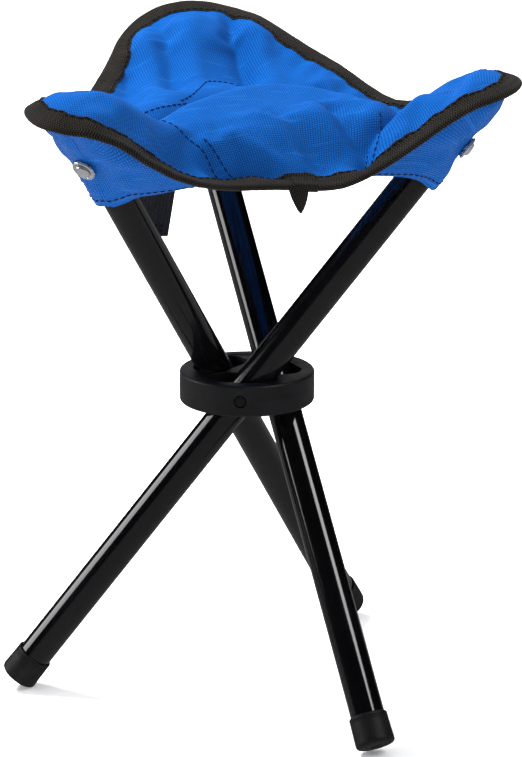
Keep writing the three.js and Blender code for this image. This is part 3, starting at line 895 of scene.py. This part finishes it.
def turned_about(corner, axis, at):
    """A frame whose Z lies along an axis through a point of the leg, at a distance from its pivot."""
    x = corner.along
    return frame_matrix(x, np.cross(axis, x), axis, corner.pivot + x * at)


def rivet_line(corner):
    """A frame whose Z runs out through the tube along the seat's rivet."""
    return turned_about(corner, corner.outer, np.mean(corner.extent("seat_rivet", corner.along)))


def leg_tube(corner):
    """A tube with both ends of its wall broken by a small chamfer, and holes for the pin and the rivet."""
    low, high = corner.extent("leg_tube", corner.along)
    radius = corner.extent("leg_tube", corner.side)[1]
    inside = radius - 1 * MM
    lip = 0.25 * MM
    profile = [(inside, low + lip), (inside + lip, low), (radius - lip, low), (radius, low + lip)]
    profile += [(radius, high - lip), (radius - lip, high), (inside + lip, high), (inside, high - lip)]
    tube = lathe(f"tube_{corner.name}", profile, corner.matrix(), enamel_look, 128)
    pin_line = turned_about(corner, corner.side, 0)
    past = radius + 4 * MM
    bore(tube, (pin_line, PIN_HOLE, -past, past), (rivet_line(corner), 2.1 * MM, 2 * MM, past))
    finish_piece(tube, corner.body, "leg_paint", f"leg_tube_{corner.name}")


def foot_cap(corner):
    """A cap with two rings moulded in its sole, a rounded edge, and a bead near its rim."""
    sole, rim = corner.extent("foot_cap", corner.along)
    wide = corner.extent("foot_cap", corner.side)[1]
    inside = corner.extent("leg_tube", corner.side)[1] + 0.15 * MM
    narrow = 8.95 * MM
    profile = [(0, sole + 0.5 * MM), (2.4 * MM, sole + 0.5 * MM)]
    for ring in (3.1, 5.3):
        low, high = ring * MM, (ring + 1.3) * MM
        profile += [(low, sole + 0.02 * MM), (high, sole), (high + 0.3 * MM, sole + 0.45 * MM)]
        profile += [(high + 0.6 * MM, sole + 0.45 * MM)]
    profile += [(7.6 * MM, sole)]
    profile += rounded((7.75 * MM, sole), (wide, sole + 1.7 * MM), (wide, sole), 6)
    slope = (wide - narrow) / (rim - sole)
    beads = [(3.4, 0), (3.1, -0.16), (2.8, 0), (2.0, 0.02), (1.75, -0.2), (1.5, 0.04)]
    for below, proud in [*beads, (0.6, 0.06), (0.2, -0.08)]:
        profile.append((narrow + slope * below * MM + proud * MM, rim - below * MM))
    profile += [(narrow - 0.35 * MM, rim), (inside + 0.2 * MM, rim - 0.05 * MM), (inside, rim - 0.4 * MM)]
    profile += [(inside, sole + 2.2 * MM), (0, sole + 2.2 * MM)]
    cap = lathe(f"cap_{corner.name}", profile, corner.matrix(), rubber_look)
    finish_piece(cap, corner.body, "cap_rubber", f"foot_cap_{corner.name}")


def top_plug(corner):
    """A plug with three ribs on its shank, and a flange that covers the tube's end."""
    low, high = corner.extent("top_plug", corner.along)
    radius = corner.extent("top_plug", corner.side)[1]
    shank = radius - 1.3 * MM
    flange = high - 1.5 * MM
    profile = [(0, low), (shank - 1 * MM, low), (shank, low + 1.5 * MM)]
    for rib in range(3):
        base = low + (2.4 + 1.6 * rib) * MM
        profile += [(shank - 0.3 * MM, base), (shank, base + 0.5 * MM), (shank - 0.3 * MM, base + 1 * MM)]
    profile += [(shank - 0.2 * MM, flange), (radius, flange)]
    profile += rounded((radius, flange + 0.4 * MM), (radius - 2 * MM, high), (radius, high), 5)
    profile += [(0, high)]
    plug = lathe(f"plug_{corner.name}", profile, corner.matrix(), plastic_look, 64)
    finish_piece(plug, corner.body, "hub_plastic", f"top_plug_{corner.name}")


def rivet_and_washer(corner):
    """A domed rivet in a cup washer that is pressed into the pocket's cloth."""
    line = rivet_line(corner)
    inner, top = corner.extent("seat_rivet", corner.outer)
    under, face = corner.extent("rivet_washer", corner.outer)
    shank = 1.8 * MM
    wide = 5.75 * MM
    hole = shank + 0.25 * MM
    washer = [(hole, under - 0.6 * MM), (wide - 0.9 * MM, under - 0.6 * MM), (wide - 0.2 * MM, under)]
    rim = face + 0.35 * MM
    washer += rounded((wide, under + 0.15 * MM), (wide - 0.9 * MM, rim), (wide, rim), 4)
    washer += [(wide - 1.2 * MM, face + 0.2 * MM), (wide - 1.6 * MM, face - 0.4 * MM)]
    washer += [(hole, face - 0.45 * MM)]
    plate = lathe(f"washer_{corner.name}", washer, line, chrome_look, 64)
    finish_piece(plate, corner.body, "rivet_chrome", f"rivet_washer_{corner.name}")
    head = 3.6 * MM
    profile = [(0, inner), (shank, inner), (shank, face), (head - 0.2 * MM, face)]
    profile += rounded((head, face + 0.3 * MM), (1.3 * MM, top), (head, top), 8)
    profile += [(0.9 * MM, top - 0.12 * MM), (0, top - 0.2 * MM)]
    rivet = lathe(f"rivet_{corner.name}", profile, line, chrome_look, 64)
    finish_piece(rivet, corner.body, "rivet_chrome", f"seat_rivet_{corner.name}")


# ---- Hub ---------------------------------------------------------------------------------------------
def place_at(origin, turn=0.0):
    """A level frame at a point, turned about Z."""
    c, s = math.cos(turn), math.sin(turn)
    return frame_matrix([c, s, 0], [-s, c, 0], [0, 0, 1], origin)


def hub_blank():
    """The turned outside: a rim rounded at both edges, a parting line, and a shallow step on each face."""
    half = HUB_HEIGHT / 2
    edge = 1.2 * MM
    lip = 25.6 * MM
    step = 0.35 * MM
    lower = [(0, -half + step), (lip, -half + step), (lip + 0.5 * MM, -half)]
    lower += rounded((HUB_RADIUS - edge, -half), (HUB_RADIUS, -half + edge), (HUB_RADIUS, -half), 7)
    line = [(HUB_RADIUS, -0.35 * MM), (HUB_RADIUS + 0.1 * MM, -0.15 * MM)]
    profile = lower + line + [(r, -z) for r, z in reversed(lower + line)]
    return lathe("hub_body", profile, place_at(HUB), plastic_look, 180)


def slot_tool(corner):
    """A long round-ended slot that flares a little at both faces."""
    half = HUB_HEIGHT / 2
    straight = 7.6 * MM
    levels = [(-half - 1 * MM, 1.6), (-half, 0.6), (-half + 0.3 * MM, 0.25), (-half + 0.8 * MM, 0.0)]
    levels += [(-z, grow) for z, grow in reversed(levels)]
    turn = np.linspace(0, np.pi, 21)
    sections = []
    for z, grow in levels:
        round_radius = 8.5 * MM + grow * MM
        ends = [(round_radius * np.cos(turn), straight + round_radius * np.sin(turn))]
        ends.append((round_radius * np.cos(turn + np.pi), -straight + round_radius * np.sin(turn + np.pi)))
        loop = np.vstack([np.stack([x, y, np.full_like(x, z)], axis=-1) for x, y in ends])
        sections.append(loop)
    sections = np.array(sections)
    out = unit((corner.pivot - HUB)[:2])
    matrix = place_at(corner.pivot, math.atan2(out[1], out[0]))
    placed = sections @ matrix[:3, :3].T + matrix[:3, 3]
    return sweep("slot_tool", placed[:, ::-1], steel_look, np.zeros((*placed.shape[:2], 2)))


def pin_frame(corner):
    """A frame on the hub's axis whose Z runs out along a leg's pin."""
    outward = -corner.side
    up = [0, 0, 1]
    return frame_matrix(up, np.cross(outward, up), outward, [HUB[0], HUB[1], corner.pivot[2]])


def hub_and_pins():
    hub = hub_blank()
    far = HUB_RADIUS + 2 * MM
    for corner in corners:
        cut_with(hub, slot_tool(corner))
    for corner in corners:
        line = pin_frame(corner)
        recess = (line, PIN_HEAD + 0.15 * MM, HUB_RADIUS - 1.1 * MM, far)
        bore(hub, (line, PIN_HOLE, 3.9 * MM, far), recess)
    finish_piece(hub, "hub", "hub_plastic", "hub")
    for corner in corners:
        pivot_pin(corner)


def pivot_pin(corner):
    """A pin with a flat head that lies in a shallow recess of the hub's rim."""
    inner = 4.2 * MM
    outer = HUB_RADIUS - 0.45 * MM
    chamfer = 0.4 * MM
    profile = [(0, inner), (PIN_RADIUS - chamfer, inner), (PIN_RADIUS, inner + chamfer)]
    profile += [(PIN_RADIUS, outer - 0.65 * MM), (PIN_HEAD, outer - 0.6 * MM)]
    profile += [(PIN_HEAD, outer - 0.3 * MM), (PIN_HEAD - chamfer, outer), (0, outer)]
    pin = lathe(f"pin_{corner.name}", profile, pin_frame(corner), steel_look, 40)
    finish_piece(pin, "hub", "pin_steel", f"pivot_pin_{corner.name}")


# ---- Seat --------------------------------------------------------------------------------------------
SIDE_STEPS = 46
ARC_STEPS = 44
RINGS = 84


def bend_with_leg(corner, slot, *pieces):
    """Pieces of cloth, with their placement baked into their meshes. corner and slot are not used."""
    for piece in pieces:
        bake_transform(piece)


def whole_seat_grid():
    """The panel as one grid, from the middle to under the tape, and the number of columns in each sector."""
    tuck = 2 * MM
    outlines = [sector_outline(corner, SIDE_STEPS, ARC_STEPS) for corner in corners]
    edge = np.vstack([(points + inward * tuck)[:-1] for points, inward in outlines])
    share = np.linspace(0, 1, RINGS + 1) ** 0.92
    plan = edge[None, :, :] * share[:, None, None]
    points = seat_points(plan)
    normals = grid_normals(points, closed=True)
    normals[0] = unit(normals[1].mean(axis=0))
    steps = np.linalg.norm(np.diff(points, axis=0), axis=-1)
    run = np.concatenate([np.zeros((1, steps.shape[1])), np.cumsum(steps, axis=0)])
    flat = run[..., None] * unit(edge)[None]
    return points, normals, flat, len(outlines[0][0]) - 1


def loop_area(points):
    """The area inside a flat loop of points."""
    x, y = points[:, 0], points[:, 1]
    return abs(np.sum(x * np.roll(y, -1) - y * np.roll(x, -1))) / 2


def seat_panels():
    """The panel in three sectors. Each comes with its corner, its flat size and its flat area."""
    points, normals, flat, columns = whole_seat_grid()
    panels = []
    for number, corner in enumerate(corners):
        picked = np.arange(number * columns, (number + 1) * columns + 1) % points.shape[1]
        grids = (points[:, picked], normals[:, picked], flat[:, picked])
        name = f"panel_{corner.name}"
        piece = sheet_mesh(name, *grids, CLOTH, cloth_look, pole=True, rims=(0, 1, 1, 1))
        bend_with_leg(corner, "seat_fabric", piece)
        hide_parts("seat_panel")
        edge = flat[-1, picked]
        cut = np.stack([edge @ corner.ahead, edge @ corner.across], axis=-1)
        wide, long = np.ptp(cut[:, 1]), cut[:, 0].max()
        area = loop_area(np.vstack([cut, [[0, 0]]]))
        panels.append((piece, corner, (wide, long), area))
    return panels


def tape_section(grow=0.0):
    """The folded tape's section as (distance in, height) pairs: the outside, then the inside."""
    outside = [(10.4, 0.55), (10.3, 0.8), (9.8, 0.98), (9.2, 0.88), (8.5, 1.0), (6.5, 1.25)]
    outside += [(4.5, 1.4), (2.8, 1.5), (1.4, 1.42), (0.5, 1.02), (0.05, 0.45)]
    outside = [(x - grow * (0.3 if x < 1 else 0), z + grow) for x, z in outside]
    outside += [(x, -z) for x, z in reversed(outside)]
    inside = [(10.4, -0.48), (6.0, -0.5), (2.2, -0.5), (1.3, 0.0), (2.2, 0.5), (6.0, 0.5), (10.4, 0.48)]
    return np.array(outside + inside) * MM


def tape_sweep(name, outline, inward, grow=0.0):
    """The tape along the outline, how level the cloth is at each point, and how the tape's width waves."""
    edge = seat_points(outline)
    into = unit(seat_points(outline + inward * TAPE_WIDTH) - edge)
    level = np.linalg.norm(into[:, :2], axis=1)
    run = run_along(edge)
    section = tape_section(grow)
    pucker = 0.10 * MM * np.sin(run * 2 * np.pi / (STITCH + STITCH_GAP))
    ripple = 0.35 * MM * np.sin(run * 2 * np.pi / (17 * MM))
    ripple = ripple + 0.2 * MM * np.sin(run * 2 * np.pi / (7.3 * MM) + 1)
    depth = section[:, 0] / TAPE_WIDTH
    reach = section[None, :, 0] + ripple[:, None] * depth[None] ** 2
    rise = section[None, :, 1] + pucker[:, None] * np.sign(section[None, :, 1]) * depth[None]
    plan = outline[:, None] + inward[:, None] * (reach * level[:, None])[..., None]
    points, up = line_on_seat(plan, 0)
    points = points + up * rise[..., None]
    uv = np.stack(np.broadcast_arrays(run[:, None], run_along(section)[None]), axis=-1)
    piece = sweep(name, points, tape_look, uv)
    sharpen(piece, 50)
    return piece, level, ripple


def edge_binding():
    """The tape round each corner, with a row of stitches on both of its faces."""
    tapes = {}
    for corner in corners:
        outline, inward = sector_outline(corner, 90, 70)
        tape, level, ripple = tape_sweep(f"binding_{corner.name}", outline, inward)
        seam = 9.2 * MM * level + ripple
        line, up = line_on_seat(outline + inward * seam[:, None], 0)
        face = 0.95 * MM
        rows = [(line + up * face, up), (line - up * face, -up)]
        thread = stitches(f"binding_thread_{corner.name}", rows, black_thread)
        bend_with_leg(corner, "binding_tape", tape, thread)
        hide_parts("edge_binding")
        tapes[corner.name] = (tape, thread)
    return tapes


def tape_overlap():
    """The second layer where the tape's ends overlap in the front, with its cut end hanging as a leaf."""
    front = corners[2]
    length = np.linalg.norm(np.diff(side_points(front, np.array([0.0, 1.0]))[0], axis=0))
    middle = side_points(front, np.array([0.5]))[0][0]
    share = 0.5 + (np.linspace(0.5, 11.5, 30) * MM - middle[0]) / length
    outline, inward = side_points(front, share)
    overlap = tape_sweep("binding_overlap", outline, inward, grow=0.6)[0]
    finish_piece(overlap, "hub", "binding_tape", "edge_binding")
    wide, long = 9.4 * MM, 12 * MM
    edge = seat_points(outline)[8]
    across = np.linspace(-1, 1, 15)
    down = np.linspace(0, 1, 13)
    s, t = np.meshgrid(down, across, indexing="ij")
    half = wide / 2 * np.cos(s * np.pi / 2) ** 0.75 * (1 - 0.15 * s)
    grid = np.stack([
        edge[0] - 1.5 * MM + t * half + 0.8 * MM * s,
        edge[1] - 0.6 * MM - 1.6 * MM * np.sin(np.pi * s * 0.6) + 0.8 * MM * t * t,
        edge[2] + 1.2 * MM - s * long,
    ], axis=-1)
    uv = np.stack([t * wide / 2, s * long], axis=-1)
    normals = grid_normals(grid)
    normals[-1] = normals[-2]
    tail = sheet_mesh("binding_tail", grid, normals, uv, 0.8 * MM, tape_look)
    finish_piece(tail, "hub", "binding_tape", "edge_binding")
    return overlap, tail


def line_on_seat(plan, lift):
    """A line that lies on the seat's upper face, with its normals."""
    points = seat_points(plan)
    small = 0.5 * MM
    east = seat_points(plan + [small, 0]) - points
    north = seat_points(plan + [0, small]) - points
    normals = unit(np.cross(east, north))
    return points + normals * lift, normals


# Rows of stitches across the corners, where the pockets' mouths are sewn to the panel: paths in plan, in
# millimetres from the hub's axis.
SEAMS = {
    "right": [[(50, -42), (49, -50), (47, -56), (42, -61), (37, -66)], [(41, -55), (38, -60), (34, -64)]],
    "back": [
        [(19, 55), (6, 57), (-5, 52), (-10, 43), (-16, 34), (-25, 27)],
        [(-22, 26), (-34, 21), (-49, 15)],
    ],
    "left": [
        [(-53, -40), (-48, -46), (-40, -49), (-35, -52), (-32, -57), (-27, -62)],
        [(-34, -49), (-30, -54), (-24, -58), (-18, -61), (-10, -63)],
    ],
}


def curve(path, step=1.0 * MM):
    """A path in plan as closely spaced points with its corners rounded."""
    points = np.array(path) * MM
    run = run_along(points)
    at = np.linspace(0, run[-1], int(run[-1] / step) + 2)
    line = np.stack([np.interp(at, run, points[:, k]) for k in (0, 1)], axis=-1)
    for _ in range(14):
        line[1:-1] = (line[:-2] + 2 * line[1:-1] + line[2:]) / 4
    return line


def seam_rows(corner):
    return [line_on_seat(curve(path), CLOTH / 2) for path in SEAMS[corner.name]]


def seat_seams():
    threads = {}
    for corner in corners:
        thread = stitches(f"seam_thread_{corner.name}", seam_rows(corner), navy_thread)
        bend_with_leg(corner, "seat_fabric", thread)
        threads[corner.name] = thread
    return threads


# ---- Corner pockets ----------------------------------------------------------------------------------
def pocket_grid(corner):
    """Rows from the tip to the mouth. Each runs from one tape, round the tube's outer side, to the other."""
    hug = corner.extent("leg_tube", corner.side)[1] + 0.9 * MM
    rows = 56
    span_points = 16
    grid = []
    for t in np.linspace(0, 1, rows):
        along = POCKET_TOP + (POCKET_MOUTH - POCKET_TOP) * t
        middle = corner.pivot + corner.along * along
        halves = []
        for direction in (1, -1):
            outline, inward = walk(corner, 0.1 * MM + t * POCKET_SIDE, direction)
            place = outline + inward * 6 * MM
            surface, normal = line_on_seat(place[None], 0)
            edge = surface[0] - normal[0] * 1.25 * MM
            reach = edge - middle
            out, across = reach @ corner.outer, reach @ corner.side
            bearing = math.atan2(abs(across), out)
            apart = math.acos(min(1, hug / math.hypot(out, across)))
            touch = min(max(bearing - apart, 0.5 * min(1, 5 * t)), 1.4)
            turn = touch * np.linspace(1, 0, 8)[:, None]
            aside = corner.side * hug * np.sin(turn) * np.sign(across)
            arc = middle + corner.outer * hug * np.cos(turn) + aside
            run = np.linspace(0, 1, span_points, endpoint=False)[:, None]
            sag = np.sin(np.pi * run) * 1.6 * MM * math.sin(math.pi * min(t + 0.15, 1))
            lift = np.sin(np.pi * run) * 6 * MM * t**3
            straight = edge + (arc[0] - edge) * run + corner.outer * sag + corner.along * lift
            halves.append(np.vstack([straight, arc[:-1]]))
        keel = middle + corner.outer * hug
        grid.append(np.vstack([halves[0], keel[None], halves[1][::-1]]))
    return np.array(grid)


def clear_of_tube(corner, grid, radius):
    """Moves points out of a leg's tube, to that distance from its axis."""
    reach = grid - corner.pivot
    along = reach @ corner.along
    aside = reach - along[..., None] * corner.along
    distance = np.linalg.norm(aside, axis=-1)
    below = along < corner.extent("top_plug", corner.along)[1] + 1.5 * MM
    short = np.where(below, np.maximum(0, radius - distance), 0)
    return grid + aside / distance[..., None] * short[..., None]


def pocket_relief(corner, grid, normals, uv):
    """Slack that the rivet draws in, with soft folds that run out from it to the tape."""
    along = (grid - corner.pivot) @ corner.along - np.mean(corner.extent("seat_rivet", corner.along))
    sideways = uv[..., 0]
    distance = np.hypot(along, sideways)
    bearing = np.arctan2(along, sideways)
    columns = np.arange(grid.shape[1])
    edge_ease = smooth(np.minimum(columns, columns[::-1]) / 6.0)
    tip_ease = smooth(np.arange(grid.shape[0]) / 9.0)
    near, far = smooth((distance - 6.5 * MM) / (9 * MM)), smooth((62 * MM - distance) / (30 * MM))
    slack = 1.7 * MM * near * far
    ease = smooth((distance - 8 * MM) / (12 * MM)) * smooth((60 * MM - distance) / (26 * MM))
    folds = 1.1 * MM * np.sin(bearing * 7 + 1.3 * math.sin(corner.angle * 3 + 1)) * ease
    tight = smooth((np.abs(sideways) - 9 * MM) / (10 * MM))
    return grid + normals * ((slack + folds * tight) * edge_ease[None] * tip_ease[:, None])[..., None]


def pocket_flat(grid):
    """The pocket's flat coordinates: along each row from the keel, and down the keel."""
    keel = grid.shape[1] // 2
    steps = np.linalg.norm(np.diff(grid, axis=1), axis=-1)
    run = np.concatenate([np.zeros((grid.shape[0], 1)), np.cumsum(steps, axis=1)], axis=1)
    u = run - run[:, keel:keel + 1]
    return np.stack(np.broadcast_arrays(u, run_along(grid[:, keel])[:, None]), axis=-1)


def hem_shape(grid):
    """The waves of the pocket's hem, over the last fifth of its rows."""
    rows, columns = grid.shape[:2]
    wave = np.sin(np.linspace(0, 1, columns) * np.pi * 6 + 0.6) * 0.9 * MM
    fade = smooth((np.linspace(0, 1, rows) - 0.8) / 0.2)
    down = unit(grid[-1] - grid[-3])
    return grid + down[None] * (wave[None, :] * fade[:, None])[..., None]


def corner_pocket(corner):
    """The pocket that holds a leg's top, with the stitches of its hem, its flat size and its flat area."""
    grid = pocket_grid(corner)
    normals = grid_normals(grid)
    if np.mean(normals[:, grid.shape[1] // 2] @ corner.outer) < 0:
        grid = grid[:, ::-1]
        normals = grid_normals(grid)
    uv = pocket_flat(grid)
    grid = pocket_relief(corner, grid, normals, uv)
    grid = hem_shape(grid)
    tube = corner.extent("leg_tube", corner.side)[1]
    grid = clear_of_tube(corner, grid, tube + 0.85 * MM)
    normals = grid_normals(grid)
    pocket = sheet_mesh(f"pocket_{corner.name}", grid, normals, uv, CLOTH, cloth_look)
    hem_row = int(grid.shape[0] * 0.92)
    up = normals[hem_row, 2:-2]
    rows = [(grid[hem_row, 2:-2] + up * CLOTH / 2, up)]
    thread = stitches(f"pocket_thread_{corner.name}", rows, navy_thread)
    bend_with_leg(corner, "seat_fabric", pocket, thread)
    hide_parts(f"corner_pocket_{corner.name}")
    wide = np.ptp(uv[..., 0])
    long = np.ptp(uv[..., 1])
    width = np.ptp(uv[..., 0], axis=1)
    area = np.sum((width[1:] + width[:-1]) / 2 * np.diff(uv[:, 0, 1]))
    return pocket, thread, (wide, long), abs(area)


# ---- Storage strap -----------------------------------------------------------------------------------
def storage_strap():
    """The strap hangs from under the left sector, with one row of stitches at its top and two at its end."""
    corner = corners[2]
    low, high = (np.array(p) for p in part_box("storage_strap"))
    points = node_points("storage_strap")
    top = points[points[:, 2] > high[2] - 2 * MM].mean(axis=0)
    end = points[points[:, 2] < low[2] + 2 * MM].mean(axis=0)
    sideways = np.append(polar(math.radians(CAMERA_AZIMUTH)), 0)
    behind = np.array([-sideways[1], sideways[0], 0])
    top = top + sideways * 4 * MM
    t = np.linspace(0, 1, 45)
    sag = 3 * MM * np.sin(np.pi * t)[:, None] * behind
    middle = top + (end - top) * t[:, None] + sag
    across = np.linspace(-0.5, 0.5, 17)
    cup = 0.5 * MM * (4 * across**2)
    grid = middle[:, None] + across[None, :, None] * sideways * STRAP_WIDTH + cup[None, :, None] * behind
    under = seat_points(grid[0, :, :2] - HUB[:2])[:, 2] - (CLOTH + STRAP_THICKNESS) / 2 - 0.3 * MM
    grid[:, :, 2] += (under - grid[0, :, 2]) * (1 - t[:, None]) ** 2
    normals = grid_normals(grid)
    uv = np.stack(np.broadcast_arrays(across[None] * STRAP_WIDTH, t[:, None] * (high[2] - low[2])), axis=-1)
    strap = sheet_mesh("strap", grid, normals, uv, STRAP_THICKNESS, webbing_look)
    rows = []
    for row in (1, 40, 42):
        for face in (1, -1):
            up = normals[row, 1:-1] * face
            rows.append((grid[row, 1:-1] + up * STRAP_THICKNESS / 2, up))
    thread = stitches("strap_thread", rows, black_thread, length=2 * MM)
    bend_with_leg(corner, "binding_tape", strap, thread)
    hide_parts("storage_strap")


# ---- The stool ---------------------------------------------------------------------------------------
def sewn_seat():
    panels = seat_panels()
    tapes = edge_binding()
    overlap, tail = tape_overlap()
    seams = seat_seams()
    pockets = {corner.name: corner_pocket(corner) for corner in corners}
    for piece, corner, flat, area in panels:
        extra = [*tapes[corner.name], seams[corner.name]]
        if corner.name == "left":
            extra += [overlap, tail]
        area = min(area, flat[0] * flat[1])
    for name, (pocket, thread, flat, area) in pockets.items():
        area = min(area, flat[0] * flat[1])


for leg in corners:
    leg_tube(leg)
    foot_cap(leg)
    top_plug(leg)
    rivet_and_washer(leg)
hub_and_pins()
sewn_seat()
storage_strap()


# ---- Studio ------------------------------------------------------------------------------------------
def level_square(name, size, below, look):
    """A square that reaches size to each side of the stool, at a depth below its feet."""
    points = [(-size, -size, 0), (size, -size, 0), (size, size, 0), (-size, size, 0)]
    square = new_piece(name, points, [[0, 1, 2, 3]], look.material)
    square.location.z = -below
    return square


def studio_floor():
    look = Look("pale_floor", Roughness=0.9, Specular_IOR_Level=0.1)
    look.shader.inputs["Base Color"].default_value = (0.94, 0.94, 0.95, 1)
    floor = level_square("floor", 14.0, 0.4 * MM, look)
    floor.visible_glossy = False


def studio_world():
    world = bpy.data.worlds.new("studio")
    bpy.context.scene.world = world
    world.use_nodes = True
    background = world.node_tree.nodes["Background"]
    background.inputs["Color"].default_value = (1, 1, 1, 1)
    background.inputs["Strength"].default_value = 1.0
    world.cycles_visibility.glossy = False


def softbox(name, direction, distance, width, height, power):
    """A rectangular light that faces the middle of the stool."""
    aim = Vector((0, 0, CAMERA_AIM))
    light = bpy.data.lights.new(name, "AREA")
    light.shape = "RECTANGLE"
    light.size = width
    light.size_y = height
    light.energy = power
    lamp = bpy.data.objects.new(name, light)
    bpy.context.scene.collection.objects.link(lamp)
    lamp.location = aim + Vector(direction).normalized() * distance
    lamp.rotation_euler = (aim - lamp.location).to_track_quat("-Z", "Y").to_euler()
    return lamp


def camera_axes():
    azimuth, elevation = math.radians(CAMERA_AZIMUTH), math.radians(CAMERA_ELEVATION)
    back = Vector((
        math.sin(azimuth) * math.cos(elevation),
        -math.cos(azimuth) * math.cos(elevation),
        math.sin(elevation),
    ))
    right = Vector((math.cos(azimuth), math.sin(azimuth), 0))
    return back, right


def studio_lights():
    back, right = camera_axes()
    up = Vector((0, 0, 1))
    level = Vector((back.x, back.y, 0)).normalized()
    softbox("left_strip", -right * 0.95 + up * 0.22 - level * 0.12, 1.6, 1.1, 0.42, 7.5)
    softbox("upper_strip", right * 0.56 + up * 0.72 + level * 0.36, 1.5, 0.5, 0.5, 6)
    backdrop = softbox("backdrop", up * 0.3 - level, 2.4, 2.8, 1.1, 3.2)
    backdrop.visible_diffuse = False
    backdrop.visible_camera = False
    key = softbox("key", up * 1.0 - right * 0.55 - level * 0.45, 1.9, 0.6, 0.6, 130)
    key.visible_glossy = False
    fill = softbox("fill", level * 1.0 + right * 0.6 + up * 0.1, 2.2, 1.0, 1.0, 17)
    fill.visible_glossy = False


def reflector_card():
    """A dim card under the floor that only reflections see, so the tubes' lower sides are not black."""
    look = Look("reflector", Roughness=1.0, Emission_Strength=0.22)
    look.shader.inputs["Base Color"].default_value = (0, 0, 0, 1)
    look.shader.inputs["Emission Color"].default_value = (1, 1, 1, 1)
    card = level_square("reflector_card", 5.0, 6 * MM, look)
    card.visible_camera = False
    card.visible_diffuse = False
    card.visible_shadow = False


def studio_camera():
    back, _ = camera_axes()
    camera = bpy.data.cameras.new("camera")
    camera.lens = LENS
    camera.shift_x, camera.shift_y = SHIFT
    camera.clip_end = 60
    view = bpy.data.objects.new("camera", camera)
    bpy.context.scene.collection.objects.link(view)
    view.location = Vector((HUB[0], HUB[1], CAMERA_AIM)) + back * CAMERA_DISTANCE
    view.rotation_mode = "QUATERNION"
    view.rotation_quaternion = (-back).to_track_quat("-Z", "Y")
    bpy.context.scene.camera = view


studio_floor()
studio_world()
studio_lights()
reflector_card()
studio_camera()
bpy.context.scene.view_settings.view_transform = "Standard"
